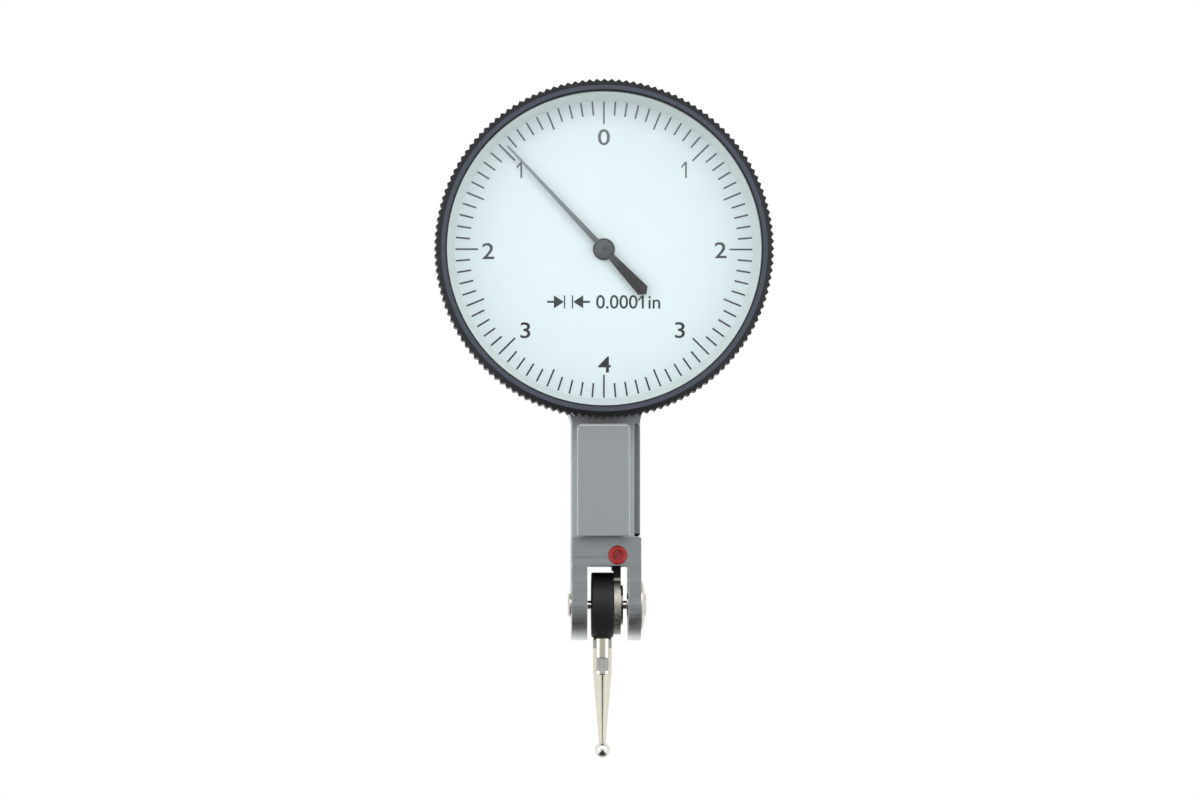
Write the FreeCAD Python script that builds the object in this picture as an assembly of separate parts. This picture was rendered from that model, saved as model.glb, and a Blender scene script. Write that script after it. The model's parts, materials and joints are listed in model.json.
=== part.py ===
import FreeCAD, Part
import math
import os

# Dial test indicator: a round dial on a slim neck, with a swivelling ball contact in a fork below.
#
# Millimetres. +X to the right of the dial, +Y to the back, +Z up. The part is laid out from the contact's
# pivot axis (along X, through y = 0 and z = 0) and moved at the end, so that the origin lies on the middle
# of the rear dovetail's outer face.

Vector = FreeCAD.Vector
X_AXIS, Y_AXIS, Z_AXIS = Vector(1, 0, 0), Vector(0, 1, 0), Vector(0, 0, 1)

# ---- what the dial reads
DIVISION_VALUE = 0.00254          # one ten-thousandth of an inch
DIAL_DIVISIONS = 80               # one turn of the pointer, 0-40-0

# ---- fits and clearances
RUNNING_FIT = 0.02                # radial, shaft in jewel or bush
SEAT_FIT = 0.02                   # radial, pressed or screwed pieces
BEZEL_FIT = 0.06                  # radial, bezel on the case spigot
END_PLAY = 0.03                   # axial, shoulder to bearing
PIN_GAP = 0.02                    # drive pin to the sector lever's flank
SIDE_GAP = 0.21                   # between plates that pass each other
TOUCH = 0.01                      # for picking edges

# ---- body
DIAL_HEIGHT = 41.8                # dial axis above the contact's pivot axis
CASE_INSET = 1.4                  # case radius, inside the bezel's
CASE_FLARE = 3.2                  # fillet from neck to case
CASE_BACK_RISE = 0.6              # raised disc on the case's back, over the crown wheel
CASE_BACK_RIM = 1.6               # the disc's radius over the cavity's
CASE_BACK_WALL = 0.6
CAVITY_RIM = 3.0                  # screw rim inside the spigot
SPIGOT_WALL = 1.0
SPIGOT_LENGTH = 2.7
NECK_LEFT = 3.7                   # from the centre plane
NECK_RIGHT = 3.67
NECK_WALL = 0.9
COVER_THICKNESS = 0.7
COVER_GAP = 0.04                  # cover's lower end above the fork's shoulder
EDGE_BREAK = 0.35

# ---- fork
FORK_RIGHT = 4.53
FORK_HEIGHT = 8.05                # fork's shoulder above the pivot axis
SLOT_LEFT = 1.84
SLOT_RIGHT = 3.02
SLOT_HEIGHT = 4.56
SLOT_CORNER = 0.2

# ---- dovetails, front and rear
DOVETAIL_WIDTH = 6.35
DOVETAIL_HEIGHT = 1.6
DOVETAIL_ANGLE = 60.0
DOVETAIL_LENGTH = 13.3
DOVETAIL_CORNER = 0.5             # radius of the rail's upper corners
DOVETAIL_EDGE = 0.14

# ---- bezel, glass and dial
BEZEL_RADIUS = 20.0
BEZEL_DEPTH = 6.8
BEZEL_LIFT = 0.2                  # bezel's back in front of the case
KNURL_TEETH = 144
KNURL_DEPTH = 0.33
KNURL_LENGTH = 4.6
BEZEL_CHAMFER = 0.8
BEZEL_WALL = 1.5                  # from the knurl's tips to the opening
SKIRT_WALL = 2.54                 # from the knurl's tips to the bore on the spigot
LIP_THICKNESS = 0.6
LIP_BEVEL = 0.2
SEAT_DEPTH = 0.4                  # glass seat beyond the opening
GLASS_THICKNESS = 1.0
GLASS_STEP = 0.3                  # how far the glass stands up inside the lip
SEAL_THICKNESS = 0.3
DIAL_RING_WIDTH = 0.9             # pale ring round the dial
DIAL_THICKNESS = 0.4
DIAL_HOLE = 1.3
DIAL_RECESS = 1.7                 # dial below the seal
SPRING_WIDTH = 0.5
SPRING_THICKNESS = 0.64
SPRING_GAP = 3.0

# ---- pointer
POINTER_REST_ANGLE = 43.1         # anticlockwise of twelve o'clock
POINTER_MARGIN = 0.9              # from the tip to the dial's edge
POINTER_TAIL = 7.3
POINTER_TAIL_SHOULDER = 6.7
POINTER_TIP_WIDTH = 0.24
POINTER_ROOT_WIDTH = 0.7
POINTER_TAIL_WIDTH = 1.5
POINTER_THICKNESS = 0.15
POINTER_BOSS_RADIUS = 1.09
POINTER_BOSS_LENGTH = 0.7
POINTER_LIFT = 0.35               # boss above the dial

# ---- gear train
MODULE = 0.16
PINION_LEAVES = 10
CROWN_TEETH = 44
CROWN_FACE = 0.6
CROWN_WEB = 0.4
CROWN_CLEARANCE = 0.38            # crown wheel to the body's front and back planes
SECTOR_TEETH = 9
SECTOR_OFFSET = 2                 # teeth by which the sector is set off towards the front
REVERSING_RATIO = 3.5             # turn of the sector lever for a turn of the contact lever
SECTOR_PIVOT_HEIGHT = 13.4
ADDENDUM = 1.0                    # in modules
DEDENDUM = 1.25
LEAF_SHARE = 0.42                 # leaf thickness as a share of the pitch
TOOTH_SHARE = 0.44
ARBOR_RADIUS = 0.35
JOURNAL_RADIUS = 0.2
JOURNAL_LENGTH = 0.6
JEWEL_RADIUS = 0.6
JEWEL_THICKNESS = 0.5
COCK_HALF_WIDTH = 1.1
COCK_THICKNESS = 0.7
COCK_FOOT = 1.9
CENTRE_BOSS_RADIUS = 0.8
LEAF_OVERHANG = 0.1               # pinion leaves past the crown teeth, each way
PLATE_THICKNESS = 0.8
PLATE_SCREW_INSET = 2.0           # from the spigot's outside

# ---- hairspring
HAIRSPRING_TURNS = 5
HAIRSPRING_PITCH = 0.6
HAIRSPRING_RIBBON = 0.08
HAIRSPRING_WIDTH = 0.3
HAIRSPRING_STUD_ANGLE = 135.0     # clockwise of three o'clock
COLLET_RADIUS = 0.85
COLLET_LENGTH = 0.6
STUD_RADIUS = 0.4

# ---- contact lever and sector lever
LEVER_LEFT = 1.31
LEVER_THICKNESS = 0.83
LEVER_STEP = 0.2                  # how much thicker the lever is above the hub
LEVER_DISC_RADIUS = 3.5
LEVER_CLEARANCE = 0.25            # lever's edges to the posts of the cover's screws
SECTOR_THICKNESS = 0.5
SECTOR_HALF_WIDTH = 0.9
SECTOR_ARM_HALF_WIDTH = 0.6
SECTOR_RIM = 1.6
SECTOR_CORNER = 0.3
DRIVE_PIN_RADIUS = 0.3
SECTOR_ARBOR_RADIUS = 0.5
BUSH_RADIUS = 0.8
BUSH_LENGTH = 0.5

# ---- pivot, hub and contact
AXLE_RADIUS = 0.53
AXLE_JOURNAL_RADIUS = 0.25
AXLE_JOURNAL_LENGTH = 0.85
HUB_RADIUS = 3.85
HUB_LEFT = 1.31
HUB_EDGE = 0.12
HUB_BOSS_RADIUS = 1.1
HUB_BOSS_LENGTH = 0.05
WASHER_RADIUS = 2.36
WASHER_THICKNESS = 0.25
CONTACT_RADIUS = 1.13
CONTACT_NECK_RADIUS = 0.4
CONTACT_SHANK_LENGTH = 4.4
CONTACT_STUD_RADIUS = 0.73
CONTACT_STUD_LENGTH = 2.7
CONTACT_EDGE = 0.12
FLAT_WIDTH = 1.76
FLAT_START = 2.35                 # below the hub boss
FLAT_LENGTH = 1.6
BALL_RADIUS = 0.95

# ---- screws
PIVOT_SCREW_RADIUS = 1.4
PIVOT_SCREW_PROUD_LEFT = 0.39
PIVOT_SCREW_PROUD_RIGHT = 0.64
LOCK_RING_RADIUS = 2.97
LOCK_RING_THICKNESS = 0.43
LOCK_RING_NOTCH = 0.6
LOCK_RING_CONE = 0.9              # width of the outer face's cone
STOP_SCREW_HEAD_RADIUS = 1.08
STOP_SCREW_HEIGHT = 5.84
STOP_SCREW_PROUD = 0.3
STOP_SCREW_RECESS = 0.68
STOP_SCREW_SLOT = 0.3
STOP_SCREW_SLOT_TURN = 40.0
STOP_SCREW_GAP = 0.15
COVER_SCREW_RADIUS = 0.5
COVER_SCREW_HEAD = 0.95
COVER_SCREW_LENGTH = 2.6
COVER_SCREW_SLOT = 0.25
COVER_SCREW_INSET = 1.15          # from the cover's long edges
COVER_SCREW_END = 1.6             # from the cover's ends
COVER_SCREW_TURN = 25.0           # slot to slot
COVER_POST_RADIUS = 0.8
SMALL_SCREW_RADIUS = 0.4
SMALL_SCREW_HEAD = 0.75
SMALL_SCREW_HEAD_LENGTH = 0.5
SMALL_SCREW_SLOT = 0.22
SMALL_SCREW_GRIP = 2.2            # plate screws into the case

# ---- worked out from the values above
PINION_RADIUS = MODULE * PINION_LEAVES / 2
CROWN_RADIUS = MODULE * CROWN_TEETH / 2
CROWN_OUTER = CROWN_RADIUS + CROWN_FACE / 2
CROWN_INNER = CROWN_RADIUS - CROWN_FACE / 2
BODY_DEPTH = 2 * (CROWN_OUTER + CROWN_CLEARANCE)
FRONT, BACK = -BODY_DEPTH / 2, BODY_DEPTH / 2

OPENING_RADIUS = BEZEL_RADIUS - BEZEL_WALL
SEAT_RADIUS = OPENING_RADIUS + SEAT_DEPTH
DIAL_RADIUS = OPENING_RADIUS - DIAL_RING_WIDTH
BEZEL_BORE = BEZEL_RADIUS - SKIRT_WALL
SPIGOT_RADIUS = BEZEL_BORE - BEZEL_FIT
CASE_RADIUS = BEZEL_RADIUS - CASE_INSET
CAVITY_RADIUS = SPIGOT_RADIUS - CAVITY_RIM
CASE_BACK_RADIUS = CAVITY_RADIUS + CASE_BACK_RIM
PLATE_SCREW_CIRCLE = SPIGOT_RADIUS - PLATE_SCREW_INSET
POINTER_LENGTH = DIAL_RADIUS - POINTER_MARGIN

COVER_OUTER = NECK_RIGHT + COVER_THICKNESS
COVER_TOP = FORK_HEIGHT + DOVETAIL_LENGTH
COVER_BOTTOM = FORK_HEIGHT + COVER_GAP
INNER_LEFT = -NECK_LEFT + NECK_WALL
INNER_DEPTH = BODY_DEPTH / 2 - NECK_WALL
CAVITY_BOTTOM = FORK_HEIGHT + NECK_WALL
CASE_BACK = BACK + CASE_BACK_RISE
CAVITY_BACK = CASE_BACK - CASE_BACK_WALL
COVER_SCREW_Y = BACK - COVER_SCREW_INSET
COVER_SCREW_HEAD_LENGTH = COVER_THICKNESS - EDGE_BREAK / 2

BEZEL_BACK = FRONT - BEZEL_LIFT
BEZEL_FRONT = BEZEL_BACK - BEZEL_DEPTH
GLASS_FRONT = BEZEL_FRONT + LIP_THICKNESS
GLASS_BACK = GLASS_FRONT + GLASS_THICKNESS
SEAL_BACK = GLASS_BACK + SEAL_THICKNESS
DIAL_FRONT = SEAL_BACK + DIAL_RECESS
DIAL_BACK = DIAL_FRONT + DIAL_THICKNESS
SPRING_MIDDLE = FRONT - 0.5 * (FRONT - DIAL_BACK)

SECTOR_RADIUS = DIAL_HEIGHT - SECTOR_PIVOT_HEIGHT - PINION_RADIUS
TRAIN_RATIO = REVERSING_RATIO * (SECTOR_RADIUS / PINION_RADIUS) * (CROWN_TEETH / PINION_LEAVES)
POINTER_SWEEP = math.radians(400)
CONTACT_SWING = POINTER_SWEEP / TRAIN_RATIO
CONTACT_LENGTH = DIVISION_VALUE * DIAL_DIVISIONS * TRAIN_RATIO / (2 * math.pi)

LEVER_RIGHT = LEVER_LEFT + LEVER_THICKNESS
LEVER_HALF_WIDTH = COVER_SCREW_Y - COVER_POST_RADIUS - LEVER_CLEARANCE
SECTOR_LEFT = LEVER_RIGHT + SIDE_GAP
SECTOR_RIGHT = SECTOR_LEFT + SECTOR_THICKNESS
UPPER_PIN_HEIGHT = SECTOR_PIVOT_HEIGHT * REVERSING_RATIO / (REVERSING_RATIO - 1)
LOWER_PIN_HEIGHT = SECTOR_PIVOT_HEIGHT * REVERSING_RATIO / (REVERSING_RATIO + 1)
DRIVE_PIN_OFFSET = SECTOR_HALF_WIDTH + PIN_GAP + DRIVE_PIN_RADIUS
LEVER_TOP = UPPER_PIN_HEIGHT + 3 * DRIVE_PIN_RADIUS

CROWN_TIP = PINION_RADIUS - ADDENDUM * MODULE
CROWN_WEB_LEFT = PINION_RADIUS + DEDENDUM * MODULE
CROWN_WEB_RIGHT = CROWN_WEB_LEFT + CROWN_WEB
PLATE_FRONT = FRONT - PLATE_THICKNESS
CROWN_LEFT_FACE = -(PINION_RADIUS + 2 * COCK_THICKNESS + SIDE_GAP)
CROWN_RIGHT_FACE = SECTOR_RIGHT + 3 * SIDE_GAP
CROWN_SCREW_REACH = COCK_THICKNESS + COCK_FOOT / 2
CENTRE_FOOT_LOW = DIAL_HEIGHT + CROWN_OUTER + SIDE_GAP
CENTRE_SCREW_HEIGHT = CENTRE_FOOT_LOW + COCK_FOOT / 2
LEAVES_FRONT = -CROWN_OUTER - LEAF_OVERHANG
LEAVES_BACK = -CROWN_INNER + LEAF_OVERHANG
CENTRE_COCK_FRONT = LEAVES_BACK + LEAF_OVERHANG
CENTRE_COCK_BACK = CENTRE_COCK_FRONT + COCK_THICKNESS
FRONT_STONE = FRONT - (PLATE_THICKNESS + JEWEL_THICKNESS) / 2
REAR_STONE = CENTRE_COCK_FRONT + (COCK_THICKNESS - JEWEL_THICKNESS) / 2

HAIRSPRING_MIDDLE = (PLATE_FRONT + DIAL_BACK) / 2
SPRING_START = COLLET_RADIUS + HAIRSPRING_RIBBON / 2 + SEAT_FIT
SPRING_END = SPRING_START + HAIRSPRING_TURNS * HAIRSPRING_PITCH
STUD_DISTANCE = SPRING_END + HAIRSPRING_RIBBON / 2 + SEAT_FIT + STUD_RADIUS
STUD_X = STUD_DISTANCE * math.cos(math.radians(HAIRSPRING_STUD_ANGLE))
STUD_HEIGHT = DIAL_HEIGHT - STUD_DISTANCE * math.sin(math.radians(HAIRSPRING_STUD_ANGLE))

LEFT_SCREW_END = -SLOT_LEFT - 2 * END_PLAY
RIGHT_SCREW_END = SLOT_RIGHT - 4 * END_PLAY
STOP_SCREW_X = LEVER_LEFT + LEVER_THICKNESS / 2
HUB_BOSS_BOTTOM = -HUB_RADIUS - HUB_BOSS_LENGTH


# ---- plain shapes
def block(x0, x1, y0, y1, z0, z1):
    return Part.makeBox(x1 - x0, y1 - y0, z1 - z0, Vector(x0, y0, z0))


def rod_x(radius, x0, x1, y=0.0, z=0.0):
    return Part.makeCylinder(radius, x1 - x0, Vector(x0, y, z), X_AXIS)


def rod_y(radius, y0, y1, x=0.0, z=DIAL_HEIGHT):
    return Part.makeCylinder(radius, y1 - y0, Vector(x, y0, z), Y_AXIS)


def rod_z(radius, z0, z1, x=0.0, y=0.0):
    return Part.makeCylinder(radius, z1 - z0, Vector(x, y, z0), Z_AXIS)


def face_of(points):
    return Part.Face(Part.makePolygon([*points, points[0]]))


def prism_x(outline, x0, x1):
    """Extrude a (y, z) outline along X."""
    return face_of([Vector(x0, y, z) for y, z in outline]).extrude(Vector(x1 - x0, 0, 0))


def prism_z(outline, z0, z1):
    """Extrude an (x, y) outline along Z."""
    return face_of([Vector(x, y, z0) for x, y in outline]).extrude(Vector(0, 0, z1 - z0))


def turned_y(outline):
    """Turn a (radius, y) outline about the dial axis."""
    face = face_of([Vector(r, y, DIAL_HEIGHT) for r, y in outline])
    return face.revolve(Vector(0, 0, DIAL_HEIGHT), Y_AXIS, 360)


def turned_x(outline, z=0.0):
    """Turn a (radius, x) outline about a line along X."""
    return face_of([Vector(x, 0, z + r) for r, x in outline]).revolve(Vector(0, 0, z), X_AXIS, 360)


def turned_z(outline):
    """Turn a (radius, z) outline about the Z axis."""
    return face_of([Vector(r, 0, z) for r, z in outline]).revolve(Vector(0, 0, 0), Z_AXIS, 360)


def screw(head_radius, head_length, radius, length, slot_width, slot_depth, cone=False):
    """A slotted screw along +Z: its head's top at z = 0, its shank below."""
    if cone:
        head = Part.makeCone(radius, head_radius, head_length, Vector(0, 0, -head_length))
    else:
        head = rod_z(head_radius, -head_length, 0)
    body = head.fuse(rod_z(radius, -head_length - length, -head_length)).removeSplitter()
    slot = block(-head_radius - 1, head_radius + 1, -slot_width / 2, slot_width / 2, -slot_depth, 1)
    return body.cut(slot)


def set_at(shape, place, towards, turn=0.0):
    """Turn a shape made along +Z so that +Z looks towards a direction, and move it to a place."""
    made = shape.copy()
    made.rotate(Vector(0, 0, 0), Z_AXIS, turn)
    turning = FreeCAD.Rotation(Z_AXIS, towards)
    made.rotate(Vector(0, 0, 0), turning.Axis, math.degrees(turning.Angle))
    made.translate(place)
    return made


def edges_beyond(shape, direction, reach):
    """The edges that lie in the plane a given reach along a direction, or beyond it."""
    return [e for e in shape.Edges if e.CenterOfMass.dot(direction) > reach - TOUCH]


def toothed_outline(count, pitch_radius, share, first_angle):
    """(angle, radius) points of teeth round a circle, from the first tooth on."""
    pitch_angle = math.pi * MODULE / pitch_radius
    half = share * pitch_angle / 2
    root, tip = pitch_radius - DEDENDUM * MODULE, pitch_radius + ADDENDUM * MODULE
    points = []
    for i in range(count):
        middle = first_angle + i * pitch_angle
        points += [
            (middle - half * 1.05, root),
            (middle - half, pitch_radius),
            (middle - half * 0.45, tip),
            (middle + half * 0.45, tip),
            (middle + half, pitch_radius),
            (middle + half * 1.05, root),
        ]
    return points


def pinion_outline(first_angle):
    turned = toothed_outline(PINION_LEAVES, PINION_RADIUS, LEAF_SHARE, first_angle)
    return [(r * math.cos(a), r * math.sin(a)) for a, r in turned]


# ---- body
def dovetail(side, bottom, length):
    """A dovetail rail on the front (side -1) or the back (side 1) of the neck, its upper corners round."""
    outer = BODY_DEPTH / 2 + DOVETAIL_HEIGHT
    height = DOVETAIL_HEIGHT + NECK_WALL / 2
    wide = DOVETAIL_WIDTH / 2
    narrow = wide - height / math.tan(math.radians(DOVETAIL_ANGLE))
    sunk = outer - height
    outline = [(narrow, side * sunk), (wide, side * outer), (-wide, side * outer), (-narrow, side * sunk)]
    rail = prism_z(outline, bottom, bottom + length)
    top = edges_beyond(rail, Z_AXIS, bottom + length)
    corners = [e for e in top if abs(e.tangentAt(e.FirstParameter).y) > TOUCH]
    rail = rail.makeFillet(DOVETAIL_CORNER, corners)
    rim = [e for e in edges_beyond(rail, side * Y_AXIS, outer) if e.CenterOfMass.z > bottom + TOUCH]
    return rail.makeChamfer(DOVETAIL_EDGE, rim)


def fork():
    bar = block(-NECK_LEFT, FORK_RIGHT, FRONT, BACK, 0, FORK_HEIGHT)
    right = edges_beyond(bar, X_AXIS, FORK_RIGHT)
    shoulder = [e for e in right if e.CenterOfMass.z > FORK_HEIGHT - TOUCH]
    bar = bar.makeFillet(EDGE_BREAK, shoulder)
    ears = bar.fuse(rod_x(BODY_DEPTH / 2, -NECK_LEFT, FORK_RIGHT)).removeSplitter()
    slot = block(-SLOT_LEFT, SLOT_RIGHT, FRONT - 1, BACK + 1, -BODY_DEPTH, SLOT_HEIGHT)
    ceiling = edges_beyond(slot, Z_AXIS, SLOT_HEIGHT)
    slot = slot.makeFillet(SLOT_CORNER, [e for e in ceiling if abs(e.tangentAt(0).y) > 0.9])
    return ears.cut(slot)


def neck_and_case():
    case = rod_y(CASE_RADIUS, FRONT, BACK)
    neck = block(-NECK_LEFT, COVER_OUTER, FRONT, BACK, FORK_HEIGHT - 1, DIAL_HEIGHT - CAVITY_RADIUS)
    joined = case.fuse(neck).removeSplitter()
    meeting = [
        e
        for e in joined.Edges
        if abs(e.tangentAt(e.FirstParameter).y) > 0.99
        and FORK_HEIGHT < e.CenterOfMass.z < DIAL_HEIGHT - 0.9 * CASE_RADIUS
        and abs(e.CenterOfMass.x) < 2 * NECK_LEFT
    ]
    joined = joined.makeFillet(CASE_FLARE, meeting)
    recess = block(NECK_RIGHT, FORK_RIGHT + CASE_FLARE, FRONT - 1, BACK + 1, FORK_HEIGHT - 1, COVER_TOP)
    return joined.cut(recess)


def case_back():
    """The raised disc on the back of the case."""
    return turned_y([
        (0, BACK - EDGE_BREAK),
        (CASE_BACK_RADIUS, BACK - EDGE_BREAK),
        (CASE_BACK_RADIUS, CASE_BACK - EDGE_BREAK),
        (CASE_BACK_RADIUS - EDGE_BREAK, CASE_BACK),
        (0, CASE_BACK),
    ])


def cover_screw_places():
    low, high = COVER_BOTTOM + COVER_SCREW_END, COVER_TOP - COVER_SCREW_END
    return [(y, z) for y in (-COVER_SCREW_Y, COVER_SCREW_Y) for z in (low, high)]


def lever_passage():
    """The way up from the fork's slot for the contact lever."""
    half = LEVER_HALF_WIDTH + 2 * SIDE_GAP
    left, right = LEVER_LEFT - LEVER_STEP - 1.5 * SIDE_GAP, LEVER_RIGHT + 1.5 * SIDE_GAP
    return block(left, right, -half, half, SLOT_HEIGHT - 1, CAVITY_BOTTOM + 1)


def plate_screw_places():
    """(angle, x, z) of the three screws round the movement plate."""
    places = []
    for angle in (90, 210, 330):
        turn = math.radians(angle)
        x, z = PLATE_SCREW_CIRCLE * math.cos(turn), PLATE_SCREW_CIRCLE * math.sin(turn)
        places.append((angle, x, DIAL_HEIGHT + z))
    return places


def neck_channel():
    """The hollow of the neck, open to the right under the side cover, round the cover's screw posts."""
    top = COVER_TOP - NECK_WALL
    channel = block(INNER_LEFT, NECK_RIGHT + 1, -INNER_DEPTH, INNER_DEPTH, CAVITY_BOTTOM, top)
    throat_top = DIAL_HEIGHT - 0.9 * CAVITY_RADIUS
    throat = block(INNER_LEFT, NECK_RIGHT, -INNER_DEPTH, INNER_DEPTH, CAVITY_BOTTOM, throat_top)
    posts = [rod_x(COVER_POST_RADIUS, INNER_LEFT, NECK_RIGHT, y, z) for y, z in cover_screw_places()]
    return channel.fuse(throat).cut(Part.makeCompound(posts))


def spring_groove():
    """The groove round the spigot for the bezel spring."""
    half = SPRING_WIDTH / 2 + SEAT_FIT
    groove = rod_y(SPIGOT_RADIUS + 1, SPRING_MIDDLE - half, SPRING_MIDDLE + half)
    return groove.cut(rod_y(SPIGOT_RADIUS - SPRING_THICKNESS / 2 - SEAT_FIT, FRONT - SPIGOT_LENGTH, FRONT))


def frame_holes():
    small = SMALL_SCREW_RADIUS + SEAT_FIT
    stop = (STOP_SCREW_X, STOP_SCREW_HEIGHT)
    holes = [
        rod_x(PIVOT_SCREW_RADIUS + SEAT_FIT, -NECK_LEFT - 1, FORK_RIGHT + 1),
        rod_x(BUSH_RADIUS + SEAT_FIT, INNER_LEFT - BUSH_LENGTH, INNER_LEFT, 0, SECTOR_PIVOT_HEIGHT),
        rod_y(STOP_SCREW_HEAD_RADIUS + SEAT_FIT, FRONT - 1, FRONT + EDGE_BREAK, *stop),
        rod_y(STOP_SCREW_RECESS, FRONT, 0, *stop),
    ]
    for y, z in cover_screw_places():
        holes.append(rod_x(COVER_SCREW_RADIUS + SEAT_FIT, 0, NECK_RIGHT + 1, y, z))
    for angle, x, z in plate_screw_places():
        holes.append(rod_y(small, FRONT - 1, FRONT + SMALL_SCREW_GRIP + SIDE_GAP, x, z))
    return holes


def body_frame():
    frame = neck_and_case().fuse([fork(), case_back()])
    frame = frame.fuse(rod_y(SPIGOT_RADIUS, FRONT - SPIGOT_LENGTH, FRONT))
    rails = [dovetail(side, FORK_HEIGHT, DOVETAIL_LENGTH) for side in (-1, 1)]
    frame = frame.fuse(rails).removeSplitter()
    cavity = rod_y(CAVITY_RADIUS, FRONT - SPIGOT_LENGTH, CAVITY_BACK)
    mouth = rod_y(SPIGOT_RADIUS - SPIGOT_WALL, FRONT - SPIGOT_LENGTH - 1, FRONT)
    hollows = [cavity, mouth, neck_channel(), spring_groove(), lever_passage()]
    return frame.cut([*hollows, *frame_holes()])


def side_cover():
    plate = block(NECK_RIGHT, COVER_OUTER, FRONT, BACK, COVER_BOTTOM, COVER_TOP)
    plate = plate.makeChamfer(EDGE_BREAK / 2, edges_beyond(plate, X_AXIS, COVER_OUTER))
    cuts = [rod_x(BUSH_RADIUS + SEAT_FIT, NECK_RIGHT, NECK_RIGHT + BUSH_LENGTH, 0, SECTOR_PIVOT_HEIGHT)]
    for y, z in cover_screw_places():
        cuts.append(rod_x(COVER_SCREW_RADIUS + SEAT_FIT, NECK_RIGHT - 1, COVER_OUTER + 1, y, z))
        sink = Part.makeCone(
            COVER_SCREW_RADIUS + SEAT_FIT,
            COVER_SCREW_HEAD + SEAT_FIT,
            COVER_SCREW_HEAD_LENGTH,
            Vector(COVER_OUTER - COVER_SCREW_HEAD_LENGTH, y, z),
            X_AXIS,
        )
        cuts.append(sink)
    return plate.cut(cuts)


def side_cover_screws():
    slot = COVER_SCREW_SLOT
    head = (COVER_SCREW_HEAD, COVER_SCREW_HEAD_LENGTH)
    one = screw(*head, COVER_SCREW_RADIUS, COVER_SCREW_LENGTH, slot, slot, cone=True)
    made = []
    for i, (y, z) in enumerate(cover_screw_places()):
        made.append(set_at(one, Vector(COVER_OUTER - SEAT_FIT, y, z), X_AXIS, COVER_SCREW_TURN * (i + 1)))
    return made


# ---- bezel and what turns with it
def knurled_bar(y0, y1):
    """A toothed bar about the dial axis, its V teeth running front to back."""
    points = []
    for i in range(KNURL_TEETH):
        for turn, radius in ((0, BEZEL_RADIUS), (0.5, BEZEL_RADIUS - KNURL_DEPTH)):
            angle = 2 * math.pi * (i + turn) / KNURL_TEETH
            points.append(Vector(radius * math.cos(angle), y0, DIAL_HEIGHT + radius * math.sin(angle)))
    return face_of(points).extrude(Vector(0, y1 - y0, 0))


def bezel_ring():
    knurl_front = BEZEL_FRONT + BEZEL_CHAMFER
    knurl_back = knurl_front + KNURL_LENGTH
    step = BEZEL_RADIUS - 2 * KNURL_DEPTH
    envelope = turned_y([
        (0, BEZEL_FRONT),
        (BEZEL_RADIUS - BEZEL_CHAMFER, BEZEL_FRONT),
        (BEZEL_RADIUS, knurl_front),
        (BEZEL_RADIUS, knurl_back),
        (step, knurl_back + KNURL_DEPTH),
        (step, BEZEL_BACK),
        (0, BEZEL_BACK),
    ])
    grip = knurled_bar(BEZEL_FRONT - 1, BEZEL_BACK + 1).common(envelope)
    half = SPRING_WIDTH / 2 + BEZEL_FIT
    spring = SPIGOT_RADIUS + SPRING_THICKNESS / 2 + BEZEL_FIT
    inside = turned_y([
        (0, BEZEL_BACK + 1),
        (BEZEL_BORE, BEZEL_BACK + 1),
        (BEZEL_BORE, SPRING_MIDDLE + half),
        (spring, SPRING_MIDDLE + half),
        (spring, SPRING_MIDDLE - half),
        (BEZEL_BORE, SPRING_MIDDLE - half),
        (BEZEL_BORE, DIAL_BACK),
        (SEAT_RADIUS, DIAL_BACK),
        (SEAT_RADIUS, GLASS_FRONT),
        (OPENING_RADIUS, GLASS_FRONT),
        (OPENING_RADIUS, BEZEL_FRONT + LIP_BEVEL),
        (OPENING_RADIUS + LIP_BEVEL, BEZEL_FRONT),
        (OPENING_RADIUS + LIP_BEVEL, BEZEL_FRONT - 1),
        (0, BEZEL_FRONT - 1),
    ])
    return grip.cut(inside)


def bezel_spring():
    """The split wire ring that holds the bezel on the case and makes it turn stiffly."""
    half = SPRING_THICKNESS / 2
    y0, y1 = SPRING_MIDDLE - SPRING_WIDTH / 2, SPRING_MIDDLE + SPRING_WIDTH / 2
    ring = rod_y(SPIGOT_RADIUS + half, y0, y1).cut(rod_y(SPIGOT_RADIUS - half, y0, y1))
    top = DIAL_HEIGHT + SPIGOT_RADIUS
    return ring.cut(block(-SPRING_GAP / 2, SPRING_GAP / 2, y0 - 1, y1 + 1, top - 2, top + 2))


def crystal():
    outer, inner = SEAT_RADIUS - SEAT_FIT, OPENING_RADIUS - SEAT_FIT
    top = GLASS_FRONT - GLASS_STEP
    return turned_y([
        (0, GLASS_BACK),
        (outer, GLASS_BACK),
        (outer, GLASS_FRONT),
        (inner, GLASS_FRONT),
        (inner, top),
        (0, top),
    ])


def crystal_seal():
    outer = SEAT_RADIUS - SEAT_FIT
    return rod_y(outer, GLASS_BACK, SEAL_BACK).cut(rod_y(OPENING_RADIUS, GLASS_BACK - 1, SEAL_BACK + 1))


def dial_ring():
    """The pale sloped ring between the seal and the dial."""
    outer = SEAT_RADIUS - SEAT_FIT
    return turned_y([
        (OPENING_RADIUS, SEAL_BACK),
        (outer, SEAL_BACK),
        (outer, DIAL_FRONT),
        (DIAL_RADIUS, DIAL_FRONT),
    ])


def dial_plate():
    disc = rod_y(SEAT_RADIUS - SEAT_FIT, DIAL_FRONT, DIAL_BACK)
    return disc.cut(rod_y(DIAL_HOLE, DIAL_FRONT - 1, DIAL_BACK + 1))


# ---- movement plate and cocks
def cock_screw_places():
    """(x, z) of the screws of the two crown cocks and of the centre cock."""
    left, right = CROWN_LEFT_FACE - CROWN_SCREW_REACH, CROWN_RIGHT_FACE + CROWN_SCREW_REACH
    return [(left, DIAL_HEIGHT), (right, DIAL_HEIGHT), (0, CENTRE_SCREW_HEIGHT)]


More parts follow.
